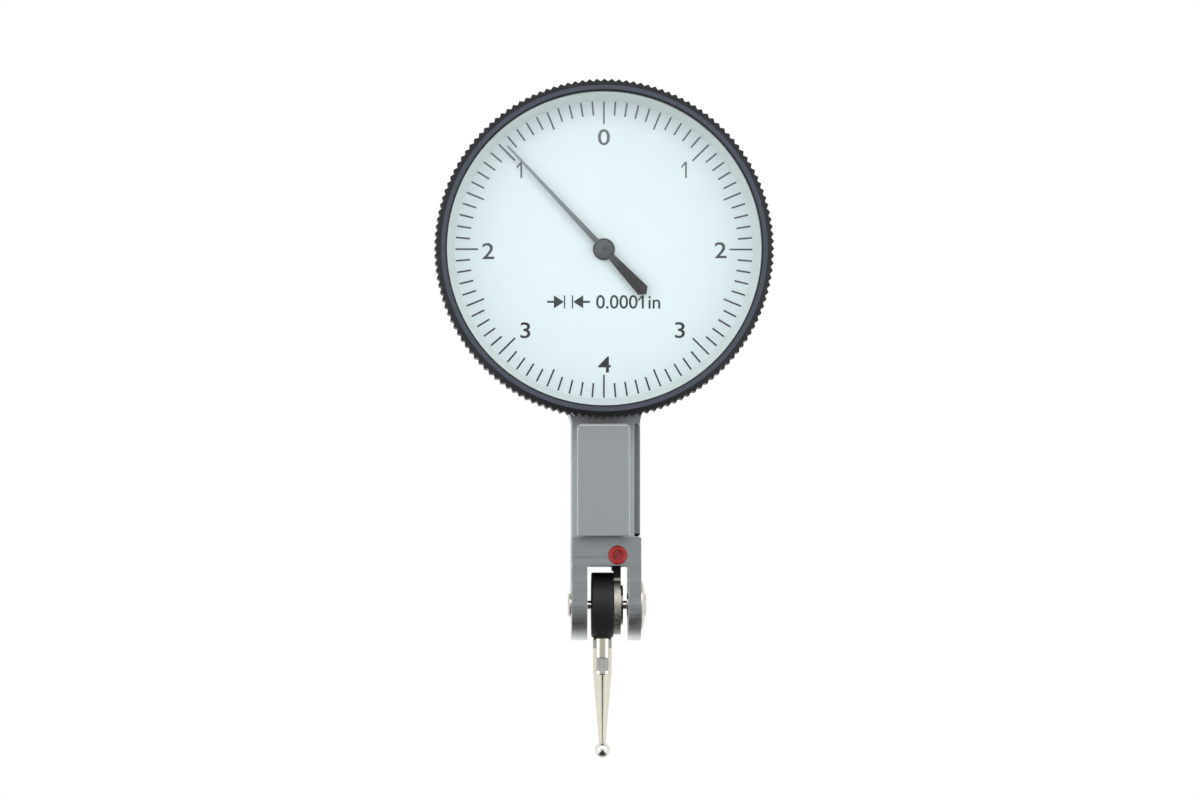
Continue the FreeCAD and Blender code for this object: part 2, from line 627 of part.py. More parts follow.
def movement_plate():
    plate = rod_y(SPIGOT_RADIUS - SPIGOT_WALL - BEZEL_FIT, PLATE_FRONT, FRONT)
    cuts = [
        rod_y(JEWEL_RADIUS + SEAT_FIT, FRONT_STONE, FRONT),
        rod_y(ARBOR_RADIUS + SIDE_GAP, PLATE_FRONT - 1, FRONT),
        rod_y(STUD_RADIUS / 2 + SEAT_FIT, PLATE_FRONT - 1, FRONT + 1, STUD_X, STUD_HEIGHT),
    ]
    for x, z in [*cock_screw_places(), *[(x, z) for angle, x, z in plate_screw_places()]]:
        cuts.append(rod_y(SMALL_SCREW_RADIUS + SEAT_FIT, PLATE_FRONT - 1, FRONT + 1, x, z))
    return plate.cut(cuts)


def small_screw(length):
    slot = SMALL_SCREW_SLOT
    return screw(SMALL_SCREW_HEAD, SMALL_SCREW_HEAD_LENGTH, SMALL_SCREW_RADIUS, length, slot, slot)


def movement_plate_screws():
    one = small_screw(PLATE_THICKNESS + SMALL_SCREW_GRIP)
    top = PLATE_FRONT - SMALL_SCREW_HEAD_LENGTH
    return [set_at(one, Vector(x, top, z), -Y_AXIS, angle) for angle, x, z in plate_screw_places()]


def crown_cock(side):
    """One of the two upright brackets that carry the crown wheel's arbor; side is -1 or 1."""
    face = CROWN_RIGHT_FACE if side > 0 else CROWN_LEFT_FACE
    low, high = DIAL_HEIGHT - COCK_HALF_WIDTH, DIAL_HEIGHT + COCK_HALF_WIDTH
    x0, x1 = sorted((face, face + side * COCK_THICKNESS))
    upright = block(x0, x1, FRONT, 0, low, high).fuse(rod_x(COCK_HALF_WIDTH, x0, x1, 0, DIAL_HEIGHT))
    f0, f1 = sorted((face, face + side * (COCK_THICKNESS + COCK_FOOT)))
    cock = upright.fuse(block(f0, f1, FRONT, FRONT + COCK_THICKNESS, low, high)).removeSplitter()
    jewel_hole = rod_x(JEWEL_RADIUS + SEAT_FIT, x0 - 1, x1 + 1, 0, DIAL_HEIGHT)
    screw_x = face + side * CROWN_SCREW_REACH
    screw_hole = rod_y(SMALL_SCREW_RADIUS + SEAT_FIT, FRONT - 1, FRONT + COCK_THICKNESS + 1, screw_x)
    return cock.cut([jewel_hole, screw_hole])


def centre_cock():
    """The bracket behind the plate that carries the rear end of the pointer's arbor."""
    front, back = CENTRE_COCK_FRONT, CENTRE_COCK_BACK
    top = CENTRE_FOOT_LOW + COCK_FOOT
    arm = block(-COCK_HALF_WIDTH, CROWN_TIP - SIDE_GAP, front, back, DIAL_HEIGHT, top)
    foot = block(-COCK_HALF_WIDTH, COCK_HALF_WIDTH, FRONT, back, CENTRE_FOOT_LOW, top)
    cock = arm.fuse([rod_y(CENTRE_BOSS_RADIUS, front, back), foot]).removeSplitter()
    hole = rod_y(SMALL_SCREW_RADIUS + SEAT_FIT, FRONT - 1, back + 1, 0, CENTRE_SCREW_HEIGHT)
    return cock.cut([rod_y(JEWEL_RADIUS + SEAT_FIT, front - 1, back + 1), hole])


def cock_screws():
    made = []
    for (x, z), foot in zip(cock_screw_places(), (COCK_THICKNESS, COCK_THICKNESS, CENTRE_COCK_BACK - FRONT)):
        one = small_screw(foot + PLATE_THICKNESS / 2)
        made.append(set_at(one, Vector(x, FRONT + foot + SMALL_SCREW_HEAD_LENGTH, z), Y_AXIS, 35 + 10 * x))
    return made


def jewel(hole):
    """A ring stone along +Z, its near face at z = 0."""
    return rod_z(JEWEL_RADIUS, 0, JEWEL_THICKNESS).cut(rod_z(hole, -1, JEWEL_THICKNESS + 1))


def centre_jewels():
    stone = jewel(JOURNAL_RADIUS + RUNNING_FIT)
    return [set_at(stone, Vector(0, y, DIAL_HEIGHT), Y_AXIS) for y in (FRONT_STONE, REAR_STONE)]


def crown_jewels():
    stone = jewel(JOURNAL_RADIUS + RUNNING_FIT)
    inset = (COCK_THICKNESS - JEWEL_THICKNESS) / 2
    places = (CROWN_LEFT_FACE - COCK_THICKNESS + inset, CROWN_RIGHT_FACE + inset)
    return [set_at(stone, Vector(x, 0, DIAL_HEIGHT), X_AXIS) for x in places]


def sector_bushes():
    bore = rod_z(AXLE_JOURNAL_RADIUS + RUNNING_FIT, -1, BUSH_LENGTH + 1)
    bush = rod_z(BUSH_RADIUS, 0, BUSH_LENGTH).cut(bore)
    places = (INNER_LEFT - BUSH_LENGTH, NECK_RIGHT)
    return [set_at(bush, Vector(x, 0, SECTOR_PIVOT_HEIGHT), X_AXIS) for x in places]


# ---- pointer, its arbor and the hairspring
def centre_arbor():
    nose = DIAL_FRONT - POINTER_LIFT - POINTER_BOSS_LENGTH - SIDE_GAP / 2
    front_shoulder = FRONT_STONE + JEWEL_THICKNESS + END_PLAY
    rear_shoulder = REAR_STONE - END_PLAY
    rear_end = REAR_STONE + JEWEL_THICKNESS + END_PLAY
    shaft = turned_y([
        (0, nose),
        (JOURNAL_RADIUS, nose),
        (JOURNAL_RADIUS, front_shoulder),
        (ARBOR_RADIUS, front_shoulder),
        (ARBOR_RADIUS, rear_shoulder),
        (JOURNAL_RADIUS, rear_shoulder),
        (JOURNAL_RADIUS, rear_end),
        (0, rear_end),
    ])
    first = math.pi / PINION_LEAVES
    outline = [Vector(x, LEAVES_FRONT, DIAL_HEIGHT + z) for x, z in pinion_outline(first)]
    leaves = face_of(outline).extrude(Vector(0, LEAVES_BACK - LEAVES_FRONT, 0))
    return leaves.fuse(shaft)


def pointer():
    """Needle, counterweight tail and boss, drawn pointing up and then turned to the rest angle."""
    y = DIAL_FRONT - POINTER_LIFT - POINTER_BOSS_LENGTH / 2 - POINTER_THICKNESS / 2
    half_tip, half_root, half_tail = POINTER_TIP_WIDTH / 2, POINTER_ROOT_WIDTH / 2, POINTER_TAIL_WIDTH / 2
    outline = [
        (-half_tip, POINTER_LENGTH - half_tip),
        (0, POINTER_LENGTH),
        (half_tip, POINTER_LENGTH - half_tip),
        (half_root, 0),
        (half_tail, -POINTER_TAIL_SHOULDER),
        (0, -POINTER_TAIL),
        (-half_tail, -POINTER_TAIL_SHOULDER),
        (-half_root, 0),
    ]
    needle = face_of([Vector(x, y, DIAL_HEIGHT + z) for x, z in outline])
    needle = needle.extrude(Vector(0, POINTER_THICKNESS, 0))
    front = DIAL_FRONT - POINTER_LIFT - POINTER_BOSS_LENGTH
    back = DIAL_FRONT - POINTER_LIFT
    edge = POINTER_BOSS_LENGTH / 4
    boss = turned_y([
        (0, front),
        (POINTER_BOSS_RADIUS / 2, front),
        (POINTER_BOSS_RADIUS / 2, front + edge / 2),
        (POINTER_BOSS_RADIUS - edge, front + edge / 2),
        (POINTER_BOSS_RADIUS, front + edge * 1.5),
        (POINTER_BOSS_RADIUS, front + edge * 2.5),
        (POINTER_BOSS_RADIUS / 2, front + edge * 2.5),
        (POINTER_BOSS_RADIUS / 2, back),
        (0, back),
    ])
    made = needle.fuse(boss).removeSplitter()
    made = made.cut(rod_y(JOURNAL_RADIUS + SEAT_FIT / 2, front - 1, back + 1))
    made.rotate(Vector(0, 0, DIAL_HEIGHT), Y_AXIS, -POINTER_REST_ANGLE)
    return made


def hairspring_collet():
    y0, y1 = HAIRSPRING_MIDDLE - COLLET_LENGTH / 2, HAIRSPRING_MIDDLE + COLLET_LENGTH / 2
    return rod_y(COLLET_RADIUS, y0, y1).cut(rod_y(JOURNAL_RADIUS + SEAT_FIT / 2, y0 - 1, y1 + 1))


def spiral_side(offset):
    """Half circles, each larger than the last by half the pitch, and the two ends of their line."""
    half = HAIRSPRING_PITCH / 2
    y = HAIRSPRING_MIDDLE - HAIRSPRING_WIDTH / 2
    arcs = []
    for i in range(2 * HAIRSPRING_TURNS):
        centre = half * (i % 2)
        side = 1 - 2 * (i % 2)
        r = SPRING_START + half * i + offset
        near, far = Vector(centre + side * r, y, DIAL_HEIGHT), Vector(centre - side * r, y, DIAL_HEIGHT)
        arcs.append(Part.Arc(near, Vector(centre, y, DIAL_HEIGHT + side * r), far).toShape())
        if i == 0:
            start = near
    return arcs, start, far


def hairspring():
    """A flat spiral, its outer end beside the stud."""
    outer, outer_start, outer_end = spiral_side(HAIRSPRING_RIBBON / 2)
    inner, inner_start, inner_end = spiral_side(-HAIRSPRING_RIBBON / 2)
    ends = [Part.makeLine(outer_start, inner_start), Part.makeLine(outer_end, inner_end)]
    wire = Part.Wire(Part.__sortEdges__([*outer, *inner, *ends]))
    ribbon = Part.Face(wire).extrude(Vector(0, HAIRSPRING_WIDTH, 0))
    ribbon.rotate(Vector(0, 0, DIAL_HEIGHT), Y_AXIS, HAIRSPRING_STUD_ANGLE)
    return ribbon


def hairspring_stud():
    post = rod_y(STUD_RADIUS, HAIRSPRING_MIDDLE - HAIRSPRING_WIDTH, PLATE_FRONT, STUD_X, STUD_HEIGHT)
    return post.fuse(rod_y(STUD_RADIUS / 2, PLATE_FRONT, FRONT, STUD_X, STUD_HEIGHT)).removeSplitter()


# ---- crown wheel
def crown_tooth():
    """One crown tooth at the front edge, pointing towards -X, as wide at its inner as at its outer end."""
    half = TOOTH_SHARE * math.pi * MODULE / 2
    sunk = CROWN_WEB_LEFT + CROWN_WEB / 4
    outline = [
        (CROWN_TIP, -half * 0.45),
        (PINION_RADIUS, -half),
        (CROWN_WEB_LEFT, -half * 1.2),
        (sunk, -half * 1.2),
        (sunk, half * 1.2),
        (CROWN_WEB_LEFT, half * 1.2),
        (PINION_RADIUS, half),
        (CROWN_TIP, half * 0.45),
    ]
    face = face_of([Vector(x, -CROWN_OUTER, DIAL_HEIGHT + z) for x, z in outline])
    return face.extrude(Vector(0, CROWN_FACE, 0))


def crown_wheel():
    hub_radius = 2.5 * ARBOR_RADIUS
    web = turned_x([
        (0, CROWN_WEB_LEFT),
        (CROWN_OUTER, CROWN_WEB_LEFT),
        (CROWN_OUTER, CROWN_WEB_RIGHT),
        (hub_radius, CROWN_WEB_RIGHT),
        (hub_radius, CROWN_WEB_RIGHT + CROWN_WEB),
        (0, CROWN_WEB_RIGHT + CROWN_WEB),
    ], DIAL_HEIGHT)
    teeth = []
    for i in range(CROWN_TEETH):
        tooth = crown_tooth()
        tooth.rotate(Vector(0, 0, DIAL_HEIGHT), X_AXIS, 360 * i / CROWN_TEETH)
        teeth.append(tooth)
    window_circle = (hub_radius + CROWN_INNER) / 2
    window = (CROWN_INNER - hub_radius) / 2 - SIDE_GAP
    cuts = [rod_x(ARBOR_RADIUS + SEAT_FIT, 0, SECTOR_RIGHT, 0, DIAL_HEIGHT)]
    for i in range(4):
        angle = math.pi / 4 + i * math.pi / 2
        y, z = window_circle * math.cos(angle), DIAL_HEIGHT + window_circle * math.sin(angle)
        cuts.append(rod_x(window, 0, SECTOR_RIGHT, y, z))
    return web.fuse(teeth).cut(cuts)


def crown_arbor():
    left, right = CROWN_LEFT_FACE + END_PLAY, CROWN_RIGHT_FACE - END_PLAY
    shaft = turned_x([
        (0, left - JOURNAL_LENGTH),
        (JOURNAL_RADIUS, left - JOURNAL_LENGTH),
        (JOURNAL_RADIUS, left),
        (ARBOR_RADIUS, left),
        (ARBOR_RADIUS, right),
        (JOURNAL_RADIUS, right),
        (JOURNAL_RADIUS, right + JOURNAL_LENGTH),
        (0, right + JOURNAL_LENGTH),
    ], DIAL_HEIGHT)
    x0, x1 = SECTOR_LEFT - SIDE_GAP / 2, SECTOR_RIGHT + SIDE_GAP / 2
    first = -math.pi / 2 + math.pi / PINION_LEAVES
    leaves = face_of([Vector(x0, y, DIAL_HEIGHT + z) for y, z in pinion_outline(first)])
    return leaves.extrude(Vector(x1 - x0, 0, 0)).fuse(shaft)


# ---- sector lever and contact lever
def sector_lever():
    """The lever with the toothed sector; its two flanks rest against the drive pins."""
    low = LOWER_PIN_HEIGHT - 3 * DRIVE_PIN_RADIUS
    shoulder = UPPER_PIN_HEIGHT + 3 * DRIVE_PIN_RADIUS
    half, arm_half = SECTOR_HALF_WIDTH, SECTOR_ARM_HALF_WIDTH
    inner = SECTOR_RADIUS - DEDENDUM * MODULE - SECTOR_RIM
    head = SECTOR_PIVOT_HEIGHT + inner
    arm = prism_x([
        (-half + SECTOR_CORNER, low),
        (half - SECTOR_CORNER, low),
        (half, low + SECTOR_CORNER),
        (half, shoulder),
        (arm_half, shoulder + 2 * half),
        (arm_half, head + SECTOR_RIM / 2),
        (-arm_half, head + SECTOR_RIM / 2),
        (-arm_half, shoulder + 2 * half),
        (-half, shoulder),
        (-half, low + SECTOR_CORNER),
    ], SECTOR_LEFT, SECTOR_RIGHT)
    pitch_angle = math.pi * MODULE / SECTOR_RADIUS
    first = math.pi / 2 - (SECTOR_TEETH - 1) / 2 * pitch_angle + SECTOR_OFFSET * pitch_angle
    teeth = toothed_outline(SECTOR_TEETH, SECTOR_RADIUS, TOOTH_SHARE, first)
    root = SECTOR_RADIUS - DEDENDUM * MODULE
    start, end = teeth[0][0] - pitch_angle / 4, teeth[-1][0] + pitch_angle / 4
    rim = [(start, inner), (start, root), *teeth, (end, root), (end, inner)]
    outline = [(r * math.cos(a), SECTOR_PIVOT_HEIGHT + r * math.sin(a)) for a, r in rim]
    sector = prism_x(outline, SECTOR_LEFT, SECTOR_RIGHT)
    arm = arm.fuse(sector).removeSplitter()
    return arm.cut(rod_x(SECTOR_ARBOR_RADIUS + SEAT_FIT / 2, 0, NECK_RIGHT, 0, SECTOR_PIVOT_HEIGHT))


def sector_arbor():
    left, right = INNER_LEFT + END_PLAY, NECK_RIGHT - END_PLAY
    reach = BUSH_LENGTH - END_PLAY
    collar = 1.4 * SECTOR_ARBOR_RADIUS
    return turned_x([
        (0, left - reach),
        (AXLE_JOURNAL_RADIUS, left - reach),
        (AXLE_JOURNAL_RADIUS, left),
        (SECTOR_ARBOR_RADIUS, left),
        (SECTOR_ARBOR_RADIUS, SECTOR_RIGHT + SEAT_FIT),
        (collar, SECTOR_RIGHT + SEAT_FIT),
        (collar, right),
        (AXLE_JOURNAL_RADIUS, right),
        (AXLE_JOURNAL_RADIUS, right + reach),
        (0, right + reach),
    ], SECTOR_PIVOT_HEIGHT)


def drive_pin_places():
    """(y, z) of the upper pin, in front of the sector lever, and of the lower pin, behind it."""
    return [(-DRIVE_PIN_OFFSET, UPPER_PIN_HEIGHT), (DRIVE_PIN_OFFSET, LOWER_PIN_HEIGHT)]


def contact_lever():
    half = LEVER_HALF_WIDTH
    corner = half / 2
    arm = prism_x([
        (-half, 0),
        (half, 0),
        (half, LEVER_TOP - corner),
        (half - corner, LEVER_TOP),
        (-half + corner, LEVER_TOP),
        (-half, LEVER_TOP - corner),
    ], LEVER_LEFT, LEVER_RIGHT)
    step = block(LEVER_LEFT - LEVER_STEP, LEVER_LEFT, -half, half, HUB_RADIUS + SIDE_GAP, LEVER_TOP - corner)
    plate = arm.fuse([rod_x(LEVER_DISC_RADIUS, LEVER_LEFT, LEVER_RIGHT), step]).removeSplitter()
    clearance = SECTOR_ARBOR_RADIUS + CONTACT_SWING * SECTOR_PIVOT_HEIGHT + SIDE_GAP
    cuts = [
        rod_x(AXLE_RADIUS + SEAT_FIT / 2, 0, SECTOR_LEFT),
        rod_x(clearance, 0, SECTOR_LEFT, 0, SECTOR_PIVOT_HEIGHT),
    ]
    cuts += [rod_x(DRIVE_PIN_RADIUS + SEAT_FIT / 2, 0, SECTOR_LEFT, y, z) for y, z in drive_pin_places()]
    return plate.cut(cuts)


def drive_pins():
    end = SECTOR_RIGHT + SIDE_GAP / 2
    return [rod_x(DRIVE_PIN_RADIUS, LEVER_LEFT - LEVER_STEP, end, y, z) for y, z in drive_pin_places()]


def pivot_axle():
    left, right = LEFT_SCREW_END + END_PLAY, RIGHT_SCREW_END - END_PLAY
    return turned_x([
        (0, left - AXLE_JOURNAL_LENGTH),
        (AXLE_JOURNAL_RADIUS, left - AXLE_JOURNAL_LENGTH),
        (AXLE_JOURNAL_RADIUS, left),
        (AXLE_RADIUS, left),
        (AXLE_RADIUS, right),
        (AXLE_JOURNAL_RADIUS, right),
        (AXLE_JOURNAL_RADIUS, right + AXLE_JOURNAL_LENGTH),
        (0, right + AXLE_JOURNAL_LENGTH),
    ])


def friction_washer():
    ring = rod_x(WASHER_RADIUS, LEVER_RIGHT + SEAT_FIT, LEVER_RIGHT + SEAT_FIT + WASHER_THICKNESS)
    return ring.cut(rod_x(AXLE_RADIUS + SEAT_FIT / 2, 0, SLOT_RIGHT))


# ---- swivel hub and contact
def swivel_hub():
    left, right = -HUB_LEFT, LEVER_LEFT - RUNNING_FIT
    drum = turned_x([
        (0, left),
        (HUB_RADIUS - HUB_EDGE, left),
        (HUB_RADIUS, left + HUB_EDGE),
        (HUB_RADIUS, right - HUB_EDGE),
        (HUB_RADIUS - HUB_EDGE, right),
        (0, right),
    ])
    drum = drum.fuse(rod_z(HUB_BOSS_RADIUS, HUB_BOSS_BOTTOM, -HUB_RADIUS / 2)).removeSplitter()
    socket_top = HUB_BOSS_BOTTOM + CONTACT_STUD_LENGTH + RUNNING_FIT
    socket = rod_z(CONTACT_STUD_RADIUS + SEAT_FIT, HUB_BOSS_BOTTOM - 1, socket_top)
    return drum.cut([rod_x(AXLE_RADIUS + RUNNING_FIT, left - 1, right + 1), socket])


def contact_shank():
    top = HUB_BOSS_BOTTOM
    taper_top = top - CONTACT_SHANK_LENGTH
    tip = -CONTACT_LENGTH
    neck = CONTACT_RADIUS - CONTACT_EDGE
    body = turned_z([
        (0, top + CONTACT_STUD_LENGTH),
        (CONTACT_STUD_RADIUS, top + CONTACT_STUD_LENGTH),
        (CONTACT_STUD_RADIUS, top),
        (neck, top),
        (CONTACT_RADIUS, top - CONTACT_EDGE),
        (CONTACT_RADIUS, taper_top + CONTACT_EDGE),
        (CONTACT_RADIUS - CONTACT_EDGE / 3, taper_top),
        (CONTACT_NECK_RADIUS, tip + BALL_RADIUS * 0.9),
        (CONTACT_NECK_RADIUS, tip),
        (0, tip),
    ])
    flat_top = top - FLAT_START
    side = CONTACT_RADIUS + 1
    flats = [
        block(-side, side, FLAT_WIDTH / 2, side, flat_top - FLAT_LENGTH, flat_top),
        block(-side, side, -side, -FLAT_WIDTH / 2, flat_top - FLAT_LENGTH, flat_top),
    ]
    seat = Part.makeSphere(BALL_RADIUS + SEAT_FIT / 2, Vector(0, 0, tip))
    return body.cut([*flats, seat])


def contact_ball():
    return Part.makeSphere(BALL_RADIUS, Vector(0, 0, -CONTACT_LENGTH))


# ---- pivot screws, lock ring and stop screw
def pivot_screw(inner, outer):
    """A headless slotted screw along X with a bearing bore in its inner end."""
    side = 1 if outer > inner else -1
    x0, x1 = sorted((inner, outer))
    body = rod_x(PIVOT_SCREW_RADIUS, x0, x1)
    body = body.makeChamfer(EDGE_BREAK / 2, edges_beyond(body, side * X_AXIS, abs(outer)))
    bore_end = inner + side * (AXLE_JOURNAL_LENGTH + END_PLAY)
    b0, b1 = sorted((inner - side, bore_end))
    slot_end = outer - side * EDGE_BREAK
    s0, s1 = sorted((slot_end, outer + side))
    half = EDGE_BREAK * 0.7
    slot = block(s0, s1, -half, half, -PIVOT_SCREW_RADIUS - 1, PIVOT_SCREW_RADIUS + 1)
    return body.cut([rod_x(AXLE_JOURNAL_RADIUS + RUNNING_FIT, b0, b1), slot])


def pivot_lock_ring():
    """The ring that locks the right pivot screw, its outer face a shallow cone with two key notches."""
    x0, x1 = FORK_RIGHT, FORK_RIGHT + LOCK_RING_THICKNESS
    hole = PIVOT_SCREW_RADIUS + SEAT_FIT
    ring = turned_x([
        (hole, x0),
        (LOCK_RING_RADIUS, x0),
        (LOCK_RING_RADIUS, x0 + LOCK_RING_THICKNESS / 3),
        (LOCK_RING_RADIUS - LOCK_RING_CONE, x1),
        (hole, x1),
    ])
    notch = LOCK_RING_NOTCH / 2
    cuts = []
    floor = LOCK_RING_RADIUS - LOCK_RING_NOTCH
    for side in (-1, 1):
        z0, z1 = sorted((side * floor, side * (floor + 1)))
        cuts.append(block(x0 + LOCK_RING_THICKNESS / 3, x1 + 1, -notch, notch, z0, z1))
    return ring.cut(cuts)


def lever_stop_screw():
    """The lacquered screw in the fork's front, whose tip stands just before the contact lever."""
    x, z = STOP_SCREW_X, STOP_SCREW_HEIGHT
    front = FRONT - STOP_SCREW_PROUD
    seat = FRONT + EDGE_BREAK - SEAT_FIT
    tip = -LEVER_HALF_WIDTH - STOP_SCREW_GAP
    head = rod_y(STOP_SCREW_HEAD_RADIUS, front, seat, x, z)
    head = head.makeChamfer(STOP_SCREW_PROUD / 2, edges_beyond(head, -Y_AXIS, -front))
    body = head.fuse(rod_y(STOP_SCREW_RECESS - SEAT_FIT, seat, tip, x, z)).removeSplitter()
    recess = rod_y(STOP_SCREW_RECESS, front - 1, FRONT, x, z)
    half = STOP_SCREW_SLOT / 2
    reach = STOP_SCREW_RECESS - SEAT_FIT
    slot = block(-reach, reach, FRONT - STOP_SCREW_SLOT, FRONT + half, -half, half)
    slot.rotate(Vector(0, 0, 0), Y_AXIS, -STOP_SCREW_SLOT_TURN)
    slot.translate(Vector(x, 0, z))
    return body.cut([recess, slot])


# ---- hand over
def save(name, shape):
    """Write one node. A list is a group of separate solids."""
    made = Part.makeCompound(shape) if isinstance(shape, list) else shape
    made = made.copy()
    made.translate(Vector(0, -(BACK + DOVETAIL_HEIGHT), -(FORK_HEIGHT + DOVETAIL_LENGTH / 2)))
    solids = made.Solids
    if not made.isValid() or not solids:
        raise ValueError(name + " is not a valid solid")
    made.exportStep("parts/" + name + ".step")
    print(f"{name:24s} solids {len(solids)}  volume {sum(s.Volume for s in solids):9.3f}")


def main():
    os.makedirs("parts", exist_ok=True)
    nodes = {
        "body_frame": body_frame(),
        "side_cover": side_cover(),
        "side_cover_screws": side_cover_screws(),
        "bezel_ring": bezel_ring(),
        "bezel_spring": bezel_spring(),
        "crystal": crystal(),
        "crystal_seal": crystal_seal(),
        "dial_ring": dial_ring(),
        "dial_plate": dial_plate(),
        "movement_plate": movement_plate(),
        "movement_plate_screws": movement_plate_screws(),
        "crown_cock_left": crown_cock(-1),
        "crown_cock_right": crown_cock(1),
        "centre_cock": centre_cock(),
        "cock_screws": cock_screws(),
        "centre_jewels": centre_jewels(),
        "crown_jewels": crown_jewels(),
        "sector_bushes": sector_bushes(),
        "centre_arbor": centre_arbor(),
        "pointer": pointer(),
        "hairspring_collet": hairspring_collet(),
        "hairspring": hairspring(),
        "hairspring_stud": hairspring_stud(),
        "crown_wheel": crown_wheel(),
        "crown_arbor": crown_arbor(),
        "sector_lever": sector_lever(),
        "sector_arbor": sector_arbor(),
        "contact_lever": contact_lever(),
        "drive_pins": drive_pins(),
        "pivot_axle": pivot_axle(),
        "friction_washer": friction_washer(),
        "swivel_hub": swivel_hub(),
        "contact_shank": contact_shank(),
        "contact_ball": contact_ball(),
        "pivot_screw_left": pivot_screw(LEFT_SCREW_END, -NECK_LEFT - PIVOT_SCREW_PROUD_LEFT),
        "pivot_screw_right": pivot_screw(RIGHT_SCREW_END, FORK_RIGHT + PIVOT_SCREW_PROUD_RIGHT),
        "pivot_lock_ring": pivot_lock_ring(),
        "lever_stop_screw": lever_stop_screw(),
    }
    for name, shape in nodes.items():
        save(name, shape)
    print(f"train ratio {TRAIN_RATIO:.3f}, contact length {CONTACT_LENGTH:.3f}")


main()
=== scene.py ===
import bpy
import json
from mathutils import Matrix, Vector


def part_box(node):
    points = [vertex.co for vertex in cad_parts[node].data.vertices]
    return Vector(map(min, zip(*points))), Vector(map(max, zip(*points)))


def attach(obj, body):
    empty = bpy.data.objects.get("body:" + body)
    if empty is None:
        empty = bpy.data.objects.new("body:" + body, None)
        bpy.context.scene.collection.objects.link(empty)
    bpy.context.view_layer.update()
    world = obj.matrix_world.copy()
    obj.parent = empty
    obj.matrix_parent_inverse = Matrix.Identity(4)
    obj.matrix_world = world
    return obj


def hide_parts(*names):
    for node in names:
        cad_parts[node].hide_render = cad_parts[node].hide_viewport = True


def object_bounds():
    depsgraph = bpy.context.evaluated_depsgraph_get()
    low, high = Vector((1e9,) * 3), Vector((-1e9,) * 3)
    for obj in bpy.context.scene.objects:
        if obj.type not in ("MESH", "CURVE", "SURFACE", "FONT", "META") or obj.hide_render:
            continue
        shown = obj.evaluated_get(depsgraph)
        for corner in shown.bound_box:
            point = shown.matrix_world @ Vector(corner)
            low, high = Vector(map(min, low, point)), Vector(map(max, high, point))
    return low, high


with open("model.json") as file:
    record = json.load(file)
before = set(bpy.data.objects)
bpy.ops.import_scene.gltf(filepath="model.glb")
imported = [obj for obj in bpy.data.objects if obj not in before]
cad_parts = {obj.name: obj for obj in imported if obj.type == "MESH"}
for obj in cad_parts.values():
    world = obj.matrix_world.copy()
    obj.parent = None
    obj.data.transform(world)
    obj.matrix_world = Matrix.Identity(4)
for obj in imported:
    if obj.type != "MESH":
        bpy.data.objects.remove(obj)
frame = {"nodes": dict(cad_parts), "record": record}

import json
import math

import bmesh
import bpy
from bpy.props import FloatProperty, FloatVectorProperty, IntProperty, PointerProperty
from mathutils import Matrix, Vector

bl_info = {
    "name": "Dial test indicator",
    "version": (1, 0, 0),
    "blender": (4, 5, 0),
    "location": "View3D > Sidebar > Indicator",
    "description": "Dresses a dial test indicator: dial, bezel, body, contact and studio",
    "category": "Object",
}

MM = 0.001
CAD_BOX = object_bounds()
RECORD = frame["record"]
SLOT_OF = {part["node"]: part["material_slot"] for part in RECORD["subparts"]}


def middle(node):
    low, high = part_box(node)
    return (Vector(low) + Vector(high)) / 2


DIAL_CENTRE = middle("dial_plate")
DIAL_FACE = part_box("dial_plate")[0][1]
BEZEL_RADIUS = (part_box("bezel_ring")[1][0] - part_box("bezel_ring")[0][0]) / 2
PIVOT = middle("pivot_axle")
FORK_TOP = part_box("side_cover")[0][2]
RAIL_STAND = 1.3 * MM
RAIL_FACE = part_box("lever_stop_screw")[0][1] - RAIL_STAND
RAIL_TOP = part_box("side_cover")[1][2]
SLOT_CEILING = PIVOT.z + 4.56 * MM
BALL = middle("contact_ball")
POINTER_ANGLE = math.radians(43.1)
FIGURE_BREADTH = 1.17
FLAT_HIGH = PIVOT.z - 6.25 * MM
FLAT_LOW = FLAT_HIGH - 1.6 * MM
FACE_INNER = BEZEL_RADIUS - 1.32 * MM
FACE_OUTER = BEZEL_RADIUS - 0.80 * MM
SURROUND_LEVEL = 0.92


# ---- settings
class DialSettings(bpy.types.PropertyGroup):
    scale_radius: FloatProperty(
        name="Scale radius",
        description="Outer ends of the graduation lines",
        default=17.5 * MM,
        unit="LENGTH",
    )
    divisions: IntProperty(name="Divisions", description="Graduation lines round the dial", default=80)
    short_line: FloatProperty(
        name="Short line", description="Length of a plain graduation line", default=1.67 * MM, unit="LENGTH"
    )
    medium_line: FloatProperty(
        name="Medium line", description="Length of every fifth line", default=2.2 * MM, unit="LENGTH"
    )
    long_line: FloatProperty(
        name="Long line", description="Length of every tenth line", default=2.7 * MM, unit="LENGTH"
    )
    line_width: FloatProperty(
        name="Line width", description="Width of the graduation lines", default=0.2 * MM, unit="LENGTH"
    )
    numeral_height: FloatProperty(
        name="Numeral height", description="Height of the dial's numerals", default=1.9 * MM, unit="LENGTH"
    )
    print_thickness: FloatProperty(
        name="Print thickness",
        description="How far the print stands off the dial",
        default=0.01 * MM,
        unit="LENGTH",
    )
    face_colour: FloatVectorProperty(
        name="Dial colour", description="Enamel of the dial", default=(0.76, 0.85, 0.87), subtype="COLOR"
    )
    ring_colour: FloatVectorProperty(
        name="Ring colour",
        description="Sloped ring round the dial",
        default=(0.66, 0.73, 0.72),
        subtype="COLOR",
    )
    print_colour: FloatVectorProperty(
        name="Print colour",
        description="Lines, numerals and signs",
        default=(0.014, 0.016, 0.021),
        subtype="COLOR",
    )


